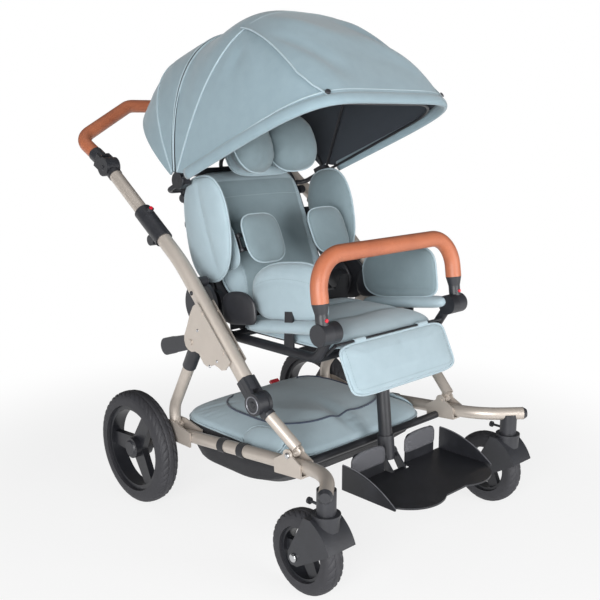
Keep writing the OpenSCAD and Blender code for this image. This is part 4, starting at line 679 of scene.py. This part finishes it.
lean = turn_axes((REAR, UP, ACROSS), (0, 1), -8)
turn = np.linspace(0, 2 * np.pi, 24, endpoint=False)[None]
bolster_y = np.linspace(104, 364, 60)[:, None]
bolster_fill = np.sqrt(1 - np.linspace(-1, 1, 60) ** 10)[:, None]
bolster_z = 483 + 0.147 * (362 - bolster_y) + 15 * bolster_fill * np.sin(turn)
seam_x = np.linspace(-94, 94, 13)
disc = [(4, 0), (50, 0.5), (53, 3), (53, 7), (49, 10), (4, 11)]
for name, mirror in SIDES:
    axes = (lean[0], lean[1], mirror * lean[2])
    pad = Pad(232, 126, 23, 15, (2.2, 3.4, 6, 3.6), (mirror * 185, 248, 577), axes, 3.4, thigh_relief)
    obj = make_pad(f"thigh_pad_{name}", pad, faced_cloth, "seat", "light_fabric", ["thigh_pad"], 3.0,
                   lambda x, y, z: np.where(z > 0, abs(y - roll_seam(x)), abs(y - THIGH_SEAM)) < 3,
                   lambda x, y, z: 1 - soft_step(z, -2, 0))
    sewn_line(f"thigh_stitch_{name}", obj, pad, [(-92, THIGH_SEAM), (84, THIGH_SEAM)], -1, "seat", thread_dark)
    sewn_line(f"thigh_seam_{name}", obj, pad, np.stack([seam_x, roll_seam(seam_x) + 4], -1), 1, "seat", thread_dark)
    bolster_x = mirror * (193 + 21 * bolster_fill * np.cos(turn))
    roll = np.stack(np.broadcast_arrays(bolster_x, bolster_y, bolster_z), -1)
    faces = tube_faces(60, 24)
    bolster = piece(f"seat_bolster_{name}", roll.reshape(-1, 3), flip(faces) if mirror > 0 else faces, sage_cloth,
                    "seat", "light_fabric")
    guard = Pad(116, 76, 7, 7, (2.6, 2.2, 5, 4), (mirror * 227, 366, 528), axes, 6.0)
    piece(f"hip_guard_{name}", *guard.surface(96, 14), black_plastic, "seat", "black_plastic")
    piece(f"seat_disc_{name}", *turned(disc, (mirror * 223, 500, 520), (mirror, 0, 0), 48), black_plastic,
          "rail", "black_plastic", sharp=40)

# Black cloth between the seat and the back
u, v = np.linspace(-1, 1, 80)[None], np.linspace(0, 1, 14)[:, None]
hang_z = 462 + v * (50 + 34 * soft_step(np.abs(200 * u), 150, 176))
hang = np.stack(np.broadcast_arrays(200 * u, 428 + 2.5 * np.sin(np.pi * v) * np.cos(6 * u), hang_z), -1)
piece("seat_valance", *two_sided(hang, hang + [0, 2.4, 0]), strap_cloth, "seat", "basket_cloth", sharp=50)

# Back


def panel_edge(y):
    """Half width of the knitted panel: 114 low on the back, 138 at its top."""
    return 126 + 12 * np.clip(y / 130, -1, 1)


def from_waist(x, y):
    """Distance from the fold at the waist."""
    return y + 123 + 0.0008 * x * x


def back_relief(x, y, side):
    """Sewn lines at both edges of the knitted panel, one across near the top, and a fold at the waist."""
    lines = crease(np.abs(x) - panel_edge(y), 4.0, 6.0) + crease(y - 88, 1.6, 5.0) + crease(from_waist(x, y), 4.5, 11.0)
    return (lines + 1.2 * np.sin(y / 15 + x / 55) * soft_step(-y, 70, 140)) * (side > 0)


def back_knit(x, y, z):
    """The knitted panel between its seams, up to the pale collar."""
    return (1 - soft_step(np.abs(x), panel_edge(y) - 1, panel_edge(y) + 1)) * (1 - soft_step(y, 130, 133))


back_pad = Pad(328, 330, 38, 5.4, (7, 7, 6, 6), on_back(0, 190, -38.3), BACK_AXES, 5.0, back_relief)
back = make_pad("back_pad", back_pad, faced_cloth, "back", "dark_fabric", ["back_cushion"], 4.0,
                lambda x, y, z: (z > 0) & ((abs(abs(x) - panel_edge(y)) < 4) | (abs(from_waist(x, y)) < 4)),
                knit=back_knit)
seam_y = np.linspace(-150, 132, 40)
for name, side in SIDES[::-1]:
    seam = np.stack([side * (panel_edge(seam_y) + 5), seam_y], -1)
    sewn_line(f"back_stitch_{name}", back, back_pad, seam, 1, "back", thread_dark)
sewn_line("back_stitch_top", back, back_pad, [(-128, 88), (128, 88)], 1, "back", thread_pale)


def from_wing_seam(x, y):
    """Distance across a wing from its long seam, which runs from the top to the lower front edge."""
    return x + 12 - 0.16 * y


def wing_relief(x, y, side):
    """Outside: the long seam."""
    return crease(from_wing_seam(x, y), 3.0, 7.0) * (side > 0)


wing_axes = turn_axes((-BACK_AXES[2], BACK_AXES[1], ACROSS), (0, 1), 14)
for name, mirror in SIDES:
    axes = (wing_axes[0], wing_axes[1], mirror * wing_axes[2])
    pad = Pad(160, 246, 16, 26, (2.8, 2.5, 2.2, 2.6), on_back(mirror * 207.3, 198, 18), axes, 2.4, wing_relief)
    make_pad(f"back_wing_{name}", pad, faced_cloth, "back", "light_fabric", ["back_wing"], 3.0,
             lambda x, y, z: (z > 0) & (abs(from_wing_seam(x, y)) < 3), lambda x, y, z: 1 - soft_step(z, -3, 0))


def trunk_relief(x, y, side):
    """Slack in the front of a trunk support's cover."""
    return 0.8 * np.sin(x / 14 + y / 23) * (side > 0)


KNUCKLE_HIGH = 9.7
knuckle = [(6.0, 0), (6.5, 0.6), (6.5, 9.1), (6.0, KNUCKLE_HIGH)]
for name, mirror in SIDES:
    axes = turn_axes(BACK_AXES, (0, 2), mirror * 2)
    pad = Pad(117, 119, 15, 14.6, (3.6, 3.6, 3.2, 3.2), on_back(mirror * 109, 144, 86), axes, 2.8, trunk_relief)
    make_pad(f"trunk_pad_{name}_cover", pad, knit_cloth, f"trunk_{name}", "dark_fabric", [f"trunk_pad_{name}"], 3.0,
             cord=2.0)
    flap_base = Pad(68, 114, 5.5, 5.5, (2.6, 2.6, 3, 3), on_back(mirror * 176, 150, 32),
                    (-BACK_AXES[2], BACK_AXES[1], mirror * ACROSS))
    make_pad(f"trunk_flap_{name}", flap_base, sage_cloth, "back", "light_fabric", cap=1.5, cord=1.8)
    base = on_back(mirror * 165, 144, 66)
    parts = []
    for low in (12.3, -22.0):
        middle = low + KNUCKLE_HIGH / 2
        parts.append(turned(knuckle, base + low * BACK_AXES[1], BACK_AXES[1]))
        near = base + middle * BACK_AXES[1] - 4.5 * mirror * axes[0]
        far = pad.world(-mirror * 12.0, middle, -16.9)
        parts.append(swept([near, far], BACK_AXES[1], strap_profile(1.5, -4.6, 4.6)))
    piece(f"trunk_bracket_{name}", *joined(parts), black_plastic, f"trunk_{name}", "black_plastic", sharp=40)


def lobe_relief(x, y, side):
    """Gathers that fan out from the seam of a lobe."""
    a = np.arctan2(y, x)
    rim = np.hypot(x / 60, y / 68)
    return 1.5 * np.sin(13 * a + 2 * np.sin(3 * a)) * soft_step(rim, 0.45, 0.9) * (side > 0)


head_back = Pad(212, 124, 14, 14, (4, 4, 4, 4), on_back(0, 378, 36), BACK_AXES)
make_pad("headrest_back", head_back, sage_cloth, "headrest", "light_fabric", ["headrest_cushion"], 2.0,
         cord=2.0)
for name, mirror in SIDES:
    axes = turn_axes(BACK_AXES, (0, 2), mirror * 14)
    pad = Pad(138, 148, 46, 34, (2.5, 2.5, 2.5, 2.5), on_back(mirror * 68, 378, 86), axes, 2.5, lobe_relief)
    make_pad(f"headrest_lobe_{name}", pad, knit_cloth, "headrest", "dark_fabric", cap=4.0, cord=2.0)

# Legrest flap

FLAP_W, FLAP_H = 352, 112


def from_border(x, y):
    """Distance from the line sewn 12 inside the flap's sides and lower edge."""
    return np.minimum(FLAP_W / 2 - np.abs(x), y + FLAP_H / 2) - 12


def flap_relief(x, y, side):
    """The sewn border inside the edge and a small gather under the hinge."""
    gather = 2.0 * np.exp(-((x - 10) / 9) ** 2) * soft_step(y, 0, 50)
    return (crease(from_border(x, y), 2.2, 3.0) - gather) * (side > 0)


flap_middle = FLAP_HINGE - 60.96 * FLAP_AXES[1]
flap_pad = Pad(FLAP_W, FLAP_H, 9, 9, (8, 8, 7, 7), flap_middle, FLAP_AXES, 6.0, flap_relief)
flap = make_pad("legrest_pad", flap_pad, sage_cloth, "flap", "light_fabric", ["legrest_flap"], 2.0,
                lambda x, y, z: (z > 0) & (np.abs(from_border(x, y)) < 3), cord=3.0)
corner = [(162, 44), (163, -34), (158, -42), (150, -44)]
border = [(-x, y) for x, y in corner] + corner[::-1]
sewn_line("legrest_stitch", flap, flap_pad, border, 1, "flap", thread_dark)
loop = [(3.4, 0), (5.4, 0.2), (5.6, 17), (5.4, 33.8), (3.4, 34)]
loops = joined([turned(loop, FLAP_HINGE + x * ACROSS, ACROSS) for x in (-124.0, 90.0)])
piece("legrest_loops", *loops, sage_piping, "flap", "light_fabric", sharp=50)

# Basket

TUB_HALF_W, TUB_HALF_L, TUB_AROUND = 234, 218, 144


def tub_point(t, level, grow):
    """Basket wall: a squared ellipse of power 6 drawn in with depth, whose floor rises towards the front, with a few
    slack folds down its sides."""
    plan = np.interp(level, [0, 0.45, 0.8, 1.0], [1, 0.97, 0.9, 0.66])
    plan = plan * (1 + 0.008 * np.sin(9 * t + 1.3 * np.sin(2 * t)) * np.sin(np.pi * np.clip(level, 0, 1)))
    x = signed_power(np.cos(t), 1 / 3) * (TUB_HALF_W - grow) * plan
    y = signed_power(np.sin(t), 1 / 3) * (TUB_HALF_L - grow) * plan
    sag = 1 - 0.8 * np.maximum(0, -y / TUB_HALF_L) ** 2
    return np.stack([x, BASKET_Y + y, BASKET_TOP - (BASKET_DEPTH - grow) * level * sag], -1)


t = np.linspace(0, 2 * np.pi, 1440, endpoint=False)
square = even(np.stack([signed_power(np.cos(t), 1 / 3), signed_power(np.sin(t), 1 / 3)], -1), TUB_AROUND)
angles = np.arctan2(*signed_power(square[:, ::-1], 3).T)
levels = np.concatenate([np.linspace(0, 0.8, 14), np.linspace(0.84, 1.0, 6)])[:, None]
floor_in = np.linspace(0.9, 0.06, 8)[:, None, None]


def tub_shell(grow):
    """Rings of the wall from the rim down, then rings of the floor drawn in towards its middle."""
    wall = tub_point(*np.broadcast_arrays(angles[None], levels), grow)
    middle = np.array([0, BASKET_Y, BASKET_TOP - BASKET_DEPTH + grow])
    return np.concatenate([wall, middle + (wall[-1] - middle) * floor_in])


outer = tub_shell(0)
shell = np.concatenate([outer[::-1], tub_shell(3.0)])
tub = piece("basket_net_tub", shell.reshape(-1, 3), tube_faces(len(shell), TUB_AROUND), net_cloth, "chassis",
            "basket_cloth")
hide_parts("basket_tub")
hem = swept(tub_point(angles, np.zeros_like(angles), 1.5), UP, strap_profile(2.6, -9, 0.8), closed=True)
piece("basket_hem", *hem, strap_cloth, "chassis", "basket_cloth", sharp=40)


def cover_relief(x, y, side):
    """The cover's border seam, three broad slack folds that fade in towards the front, and a slow ripple."""
    share = (np.abs(x / 234) ** 6 + np.abs(y / 216) ** 6) ** (1 / 6)
    folds = sum(height * np.exp(-((x - start - slope * y) / width) ** 2) for height, start, slope, width in (
        (5.0, 60, 0.4, 26), (4.0, -120, -0.5, 30), (-9.0, 12, 0.25, 18)))
    seam = crease((share - 0.9) * 210, 3.2, 5.0)
    return (seam + folds * soft_step(-y, 0, 140) + 1.2 * np.sin(x / 33 + y / 47)) * (side > 0)


cover_pad = Pad(468, 432, 46, 8, (6, 6, 6, 6), (0, BASKET_Y, 218.5), UPRIGHT, 3.0, cover_relief)
cover = make_pad("basket_cover_pad", cover_pad, sage_cloth, "chassis", "light_fabric", ["basket_cover"], 3.0,
                 cord=2.6)
a = np.radians(np.linspace(-100, 62, 120))
arc = np.stack([signed_power(np.cos(a), 0.6) * 176, signed_power(np.sin(a), 0.6) * 150 + 4], -1)
arc = even(arc[np.abs(arc[:, 0]) > 46], 120, closed=False)
for name, mirror in SIDES:
    where, normals = settle(cover, cover_pad.skin(mirror * arc[:, 0], arc[:, 1], 1, 2), 0.8)
    piece(f"cover_piping_{name}", *swept(where, normals, ring_profile(2.6, 8)), navy_piping, "chassis")
    lobe_axes = (REAR, np.array([-0.8 * mirror, 0, 0.6]), np.array([0.6 * mirror, 0, 0.8]))
    lobe = Pad(128, 62, 9, 4, (2.2, 2.6, 4, 4), (mirror * 217, 292, 236), lobe_axes, 2.4)
    make_pad(f"cover_side_lobe_{name}", lobe, sage_cloth, "chassis", "light_fabric", cap=2.0, cord=1.8)

# Canopy

BOWS = np.array([36.0, 62.0, 88.0, 116.0, 158.0])
SEAM_A, FRONT_A, RIM_RUN = 88, 92, 66
BOW_END_R, CANOPY_HALF_W = 21, 252
PAIRED_FOLDS = ((118, 132, 128, 174, 10.0, 2.6), (119, 130, 141, 163, -9.0, 2.8), (119, 128, 143, 150, 10.0, 2.6),
                (124, 134, 130, 156, -8.0, 2.4), (66, 120, 84, 160, 5.0, 3.0), (92, 128, 112, 165, 5.0, 2.8),
                (40, 110, 58, 150, 3.5, 3.5))
LOOSE_FOLDS = ((120, 112, 152, 66, 9.0, 4.5), (128, 120, 152, 92, -8.0, 4.0), (118, 92, 150, 46, -8.0, 4.5),
               (118, 80, 142, 54, 7.0, 4.0))
FOLDS = LOOSE_FOLDS + PAIRED_FOLDS + tuple((a0, 180 - t0, a1, 180 - t1, h, w) for a0, t0, a1, t1, h, w in PAIRED_FOLDS)


def to_rim(a):
    """Share of the way from the front bow's start to the rim."""
    return np.clip(a - FRONT_A, 0, RIM_RUN) / RIM_RUN


def canopy_reach(a):
    """Reach from the pivot: from 322 at the rear by a sine to 344 at the middle seam, then from 402 by a power to 483
    at the rim, less a half cosine that takes off 58 at the seam and nothing 24 degrees on; drawn in by up to 1.4 per
    cent between the bows."""
    step = 57.9 * (1 + np.cos(np.pi * np.clip((a - SEAM_A) / 24, 0, 1))) / 2
    rear = 322 + 22.1 * np.sin(np.radians(90 * np.clip((a - 40) / 48, 0, 1)))
    reach = np.where(a < SEAM_A, rear, 402 + 81 * to_rim(a) ** 1.75 - step)
    k = np.clip(np.searchsorted(BOWS, a, "right") - 1, 0, 3)
    dip = np.sin(np.pi * np.clip((a - BOWS[k]) / (BOWS[k + 1] - BOWS[k]), 0, 1)) ** 2
    return reach * (1 - np.where(a > BOWS[3], 0.004, 0.014) * dip)


def canopy_fold(a, t):
    """Pulled folds of the cloth, as ridges along straight lines drawn in (angle, arch) and faded at their ends."""
    total = np.zeros_like(a)
    for a0, t0, a1, t1, height, width in FOLDS:
        da, dt = a1 - a0, t1 - t0
        run = da * da + dt * dt
        k = ((a - a0) * da + (t - t0) * dt) / run
        off = np.abs((a - a0) * dt - (t - t0) * da) / math.sqrt(run)
        total = total + height * np.exp(-(off / width) ** 2) * soft_step(k, -0.1, 0.25) * (1 - soft_step(k, 0.7, 1.1))
    return total


def canopy_point(a, t, lift=0.0):
    """Arch at swing angle a and place t degrees along it: a squared ellipse whose power goes from 2.6 to 5.6 at the
    rim."""
    n = 2.6 + 3.0 * to_rim(a) ** 2
    c, s = np.cos(np.radians(t)), np.abs(np.sin(np.radians(t)))
    x = signed_power(c, 2 / n) * (CANOPY_HALF_W + lift)
    reach = BOW_END_R + s ** (2 / n) * (canopy_reach(a) + canopy_fold(a, t) * s + lift - BOW_END_R)
    return np.stack([x, reach * np.cos(np.radians(a)), reach * np.sin(np.radians(a))], -1) + CANOPY_PIVOT


def arch_places(a, count):
    """Arch parameters t that space points evenly along the arch at swing angle a, and that angle at each of them."""
    t = np.linspace(0.02, 179.98, 1441)
    run = lengths(canopy_point(np.full_like(t, a), t))
    return np.full(count, a), np.interp(np.linspace(0, run[-1], count), run, t)


arches = np.array([arch_places(a, 190) for a in np.linspace(BOWS[0], BOWS[-1], 150)])
swing, arch = arches[:, 0], arches[:, 1]
outside = canopy_point(swing, arch)
points, faces = two_sided(outside, canopy_point(swing, arch, -4.6))
# The canopy's outside, rim and visor wear the darker sage cloth, which is painted shade
canopy = piece("canopy_cloth", points, faces, canopy_sage_painted_shade, "canopy", "light_fabric", sharp=60)
canopy.data.materials.append(lining_cloth)
skin_faces = (outside.shape[0] - 1) * (outside.shape[1] - 1)
slots = np.zeros(len(faces), np.int32)
slots[skin_faces:2 * skin_faces] = 1
canopy.data.polygons.foreach_set("material_index", slots)
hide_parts("canopy_shell")


def over_canopy(a, t, lift):
    """A line laid on the canopy with its outward normals, found from the neighbouring points of the surface."""
    p = canopy_point(a, t, lift)
    da = canopy_point(a + 0.4, t, lift) - canopy_point(a - 0.4, t, lift)
    dt = canopy_point(a, t + 0.4, lift) - canopy_point(a, t - 0.4, lift)
    n = unit(np.cross(dt, da))
    return p, n * np.sign((n * (p - CANOPY_PIVOT)).sum(-1, keepdims=True))


for k, a in enumerate((BOWS[1], 86.9, 89.1, BOWS[3])):
    line = over_canopy(*arch_places(a, 160), 0.6)
    piece(f"canopy_piping_{k}", *swept(*line, ring_profile(2.3)), sage_piping, "canopy")
line = over_canopy(*arch_places(BOWS[2], 160), 0.8)
piece("canopy_zip_tape", *swept(*line, strap_profile(6, -0.6, 0.5)), zip_tape, "canopy", sharp=40)
piece("canopy_zip_teeth", *stitch_row(*line, 3.2, 2.2, 1.6, 0.7), black_plastic, "canopy", "black_plastic")

# Padded rim round the front of the canopy
line = over_canopy(*arch_places(157.6, 200), -1.5)
rim = piece("canopy_rim", *swept(*line, ring_profile(13.5, 18, 0.62)), canopy_sage_painted_shade, "canopy", "light_fabric")
line = over_canopy(*arch_places(155.2, 200), 1.0)
piece("canopy_rim_piping", *swept(*line, ring_profile(1.9)), sage_piping, "canopy")

# Visor: a second layer of cloth over the front panel, loose at its sides
visor_a = np.linspace(114.5, 156.2, 60)[:, None]
half_span = np.interp(visor_a, [114, 139, 147, 152.5, 156.5], [35, 35.5, 35.5, 31.5, 24])
across = np.linspace(-1, 1, 90)[None]
loose = np.interp(visor_a, [114, 120, 128, 142, 157], [0.2, 1.0, 1.0, 0.35, 0.1])
lift = 2.2 + 5.5 * np.abs(across) ** 12 * loose
visor_a, visor_t = np.broadcast_arrays(visor_a, 90 + half_span * across)
top = canopy_point(visor_a, visor_t, lift)
under = canopy_point(visor_a, visor_t, lift - 1.6)
visor = piece("canopy_visor", *two_sided(top, under), canopy_sage_painted_shade, "canopy", "light_fabric", sharp=60)
for (name, mirror), edge in zip(SIDES, (top[:, 0], top[:, -1])):
    piece(f"visor_piping_{name}", *swept(edge, unit(edge - CANOPY_PIVOT), ring_profile(2.2)), sage_piping, "canopy")
    snap, n = over_canopy(np.array([155.6]), np.array([90.0 - 24 * mirror]), 6.0)
    piece(f"visor_snap_{name}", *turned(dome(6.0, 3.0), snap[0], n[0]), black_plastic, "canopy", "black_plastic",
          sharp=40)

# Tyres with cut treads


def groove(v, middle, width):
    return np.exp(-((v - middle) / width) ** 2)


def tyre(name, body, node, x, y, radius, width, rim, blocks, mirror):
    """Ring of rubber: round the axle by angle and across by v, a squared half ellipse from bead to bead; slanted
    grooves every 1/blocks turn and two running grooves are cut into the tread."""
    turn = np.linspace(0, 2 * np.pi, 8 * blocks, endpoint=False)[:, None]
    v = np.linspace(-1, 1, 57)[None]
    out = np.abs(v)
    bend = np.pi / 2 * v
    lateral = width / 2 * signed_power(np.sin(bend), 0.72)
    high = rim + 1.0 + (radius - rim - 1.0) * np.abs(np.cos(bend)) ** 0.55
    slant = np.mod(turn * blocks / (2 * np.pi) + 2.1 * out + 0.5 * (v > 0), 1.0)
    cut = groove(slant, 0.5, 0.13) * soft_step(out, 0.1, 0.2) * (1 - soft_step(out, 0.6, 0.68))
    cut = cut + 0.9 * groove(out, 0.12, 0.035) + 0.5 * groove(out, 0.76, 0.02)
    r = high - 2.6 * np.clip(cut, 0, 1)
    bead = np.full((len(turn), 2), rim + 0.4)
    r = np.concatenate([r, bead], 1)
    lateral = np.concatenate([lateral, [[0.36 * width, -0.36 * width]]], 1)
    grid = np.stack(np.broadcast_arrays(mirror * (x + lateral), y + r * np.sin(turn), radius + r * np.cos(turn)), -1)
    faces = quads(*grid.shape[:2], True, True)
    obj = piece(name, grid.reshape(-1, 3), flip(faces) if mirror < 0 else faces, tyre_rubber, body, "tyre", sharp=55)
    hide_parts(node)


for name, mirror in SIDES:
    tyre(f"rear_tread_{name}", f"rear_wheel_{name}", f"rear_tyre_{name}", 311.5, 662, 141.5, 52, 107, 44, mirror)
    tyre(f"caster_tread_{name}", f"caster_wheel_{name}", f"caster_tyre_{name}", 318, 53, 89, 46, 58, 30, mirror)

# Bolts, rings, knobs and foam

bpy.context.view_layer.update()
k = np.linspace(0, 1, 60)
for name, side in SIDES:
    heads(f"caster_bolt_{name}", f"caster_{name}", f"caster_fork_{name}", [(53, 89, 9, 4)], bright_steel, (side,))
    foam = Pad(110, 46, 6, 6, (3, 3, 9, 9), (side * 90, 94, 211), (ACROSS, UP, -REAR), 8.0)
    piece(f"heel_foam_{name}", *foam.surface(96, 12), foam_cap, "footplate")
    # A lighter strip along the top of each side wall: painted highlight on the sheet's edge, partly edge wear
    edge = np.stack([np.full_like(k, side * 170.0), 96 - 148 * k, 166 + 52 * (1 - k ** 2.2)], -1)
    strip = swept(edge, (side, 0, 0), strap_profile(2.0, -0.4, 0.5))
    piece(f"footplate_edge_{name}", *strip, worn_edge_and_painted_highlight, "footplate", sharp=40)
    knobs = []
    for s, n, radius, height in ((235, -52, 15, 20), (160, -50, 17, 18), (300, -50, 11, 18)):
        knob = [(radius * 0.55, 0), (radius, 2), (radius, height - 3), (radius * 0.8, height), (radius * 0.1, height)]
        knobs.append(turned(knob, on_back(side * 186, s, n), (side, 0, 0), 20))
    piece(f"back_knobs_{name}", *joined(knobs), black_plastic, "back", "black_plastic", sharp=35)
heads("bracket_bolts", "chassis", "front_bracket", [(149, 255.6, 6.5, 3.5)], bright_steel)
heads("leg_foot_bolts", "chassis", "rear_bracket", [(572, 207, 6.5, 3.5)], bright_steel)
heads("rail_bolts", "rail", "rail", [(440, 562, 5, 2.6), (311, 428.5, 4, 2)], black_coat)
rivets = [(y, z, 3.6, 1.8) for y, z in ((372, 408), (345, 424), (413, 482))]
heads("gusset_rivets", "rail", "rail_plate", rivets, bright_steel)
a = np.linspace(0, 2 * np.pi, 48, endpoint=False)
rings = []
for _, side in SIDES:
    circle = np.stack([np.full(48, side * 0.3), 18 * np.cos(a), 18 * np.sin(a)], -1)
    circle = circle + touch("hinge_upper", side, 235, 350)
    rings.append(swept(circle, (side, 0, 0), ring_profile(1.6, 8), closed=True))
piece("hinge_rings", *joined(rings), worn_edge_and_painted_highlight, "rail")
heads("hinge_bolts", "rail", "hinge_upper", [(235, 350, 8, 2.4)], black_coat)

# Camera, floor and light


def placed(name, data, place, way):
    """A camera or lamp at a place, looking along a direction."""
    obj = bpy.data.objects.new(name, data)
    scene.collection.objects.link(obj)
    obj.location = place
    obj.rotation_mode = "QUATERNION"
    obj.rotation_quaternion = Vector(way).to_track_quat("-Z", "Y")
    return obj


camera = bpy.data.cameras.new("photo_camera")
camera.lens, camera.sensor_width = PHOTO_FOCUS * FILM / PHOTO_SIDE, FILM
camera.clip_start, camera.clip_end = 0.05, 50
azimuth, elevation = math.radians(-43.95), math.radians(11.84)
look = (-math.sin(azimuth) * math.cos(elevation), math.cos(azimuth) * math.cos(elevation), -math.sin(elevation))
scene.camera = placed("photo_camera", camera, row((-1445.8, -1095.7, 944.8)), look)

ground = bpy.data.meshes.new("floor")
ground.from_pydata([(30 * x, 30 * y, -0.0005) for x, y in ((-1, -1), (1, -1), (1, 1), (-1, 1))], [], [(0, 1, 2, 3)])
floor = bpy.data.objects.new("floor", ground)
scene.collection.objects.link(floor)
floor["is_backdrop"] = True
WHITE = (1, 1, 1, 1)
pale = bpy.data.materials.new("pale_floor")
pale.use_nodes = True
tree = pale.node_tree
tree.nodes.clear()
path = put(tree, "ShaderNodeLightPath").outputs
seen = reckon(tree, "MAXIMUM", path["Is Camera Ray"], path["Is Glossy Ray"])
shade = put(tree, "ShaderNodeBsdfDiffuse", {"Color": (0.9, 0.9, 0.9, 1)})
glow = put(tree, "ShaderNodeEmission", {"Color": WHITE, "Strength": 1.0})
away = vectors(tree, "LENGTH", {0: put(tree, "ShaderNodeTexCoord").outputs["Object"]}, "Value")
fade = put(tree, "ShaderNodeMapRange", {0: away, 1: 0.7, 2: 1.5, 3: 0.8, 4: 1.0}, interpolation_type="SMOOTHSTEP")
part_glow = reckon(tree, "MULTIPLY", seen, fade.outputs[0])
mix = put(tree, "ShaderNodeMixShader", {0: part_glow, 1: shade.outputs[0], 2: glow.outputs[0]})
put(tree, "ShaderNodeOutputMaterial", {0: mix.outputs[0]})
floor.data.materials.append(pale)

world = bpy.data.worlds.new("studio")
scene.world = world
world.use_nodes = True
tree = world.node_tree
tree.nodes.clear()
path = put(tree, "ShaderNodeLightPath").outputs
seen = reckon(tree, "MAXIMUM", path["Is Camera Ray"], path["Is Transmission Ray"])
soft = put(tree, "ShaderNodeBackground", {"Color": WHITE, "Strength": 0.15})
white = put(tree, "ShaderNodeBackground", {"Color": WHITE, "Strength": 1.0})
mix = put(tree, "ShaderNodeMixShader", {0: seen, 1: soft.outputs[0], 2: white.outputs[0]})
put(tree, "ShaderNodeOutputWorld", {0: mix.outputs[0]})


def soft_lamp(name, place, target, size, power):
    """A square studio lamp turned towards its target."""
    lamp = bpy.data.lights.new(name, "AREA")
    lamp.size, lamp.energy = size, power
    placed(name, lamp, place, Vector(target) - Vector(place))


soft_lamp("key_lamp", (-3.1, -2.0, 1.1), (0, 0, 0.6), 2.0, 150)
soft_lamp("front_lamp", (0.4, -3.5, 0.9), (0, 0, 0.6), 2.0, 90)
soft_lamp("top_lamp", (-0.6, 0.6, 3.2), (0, 0, 0.5), 1.6, 4)

low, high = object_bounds()
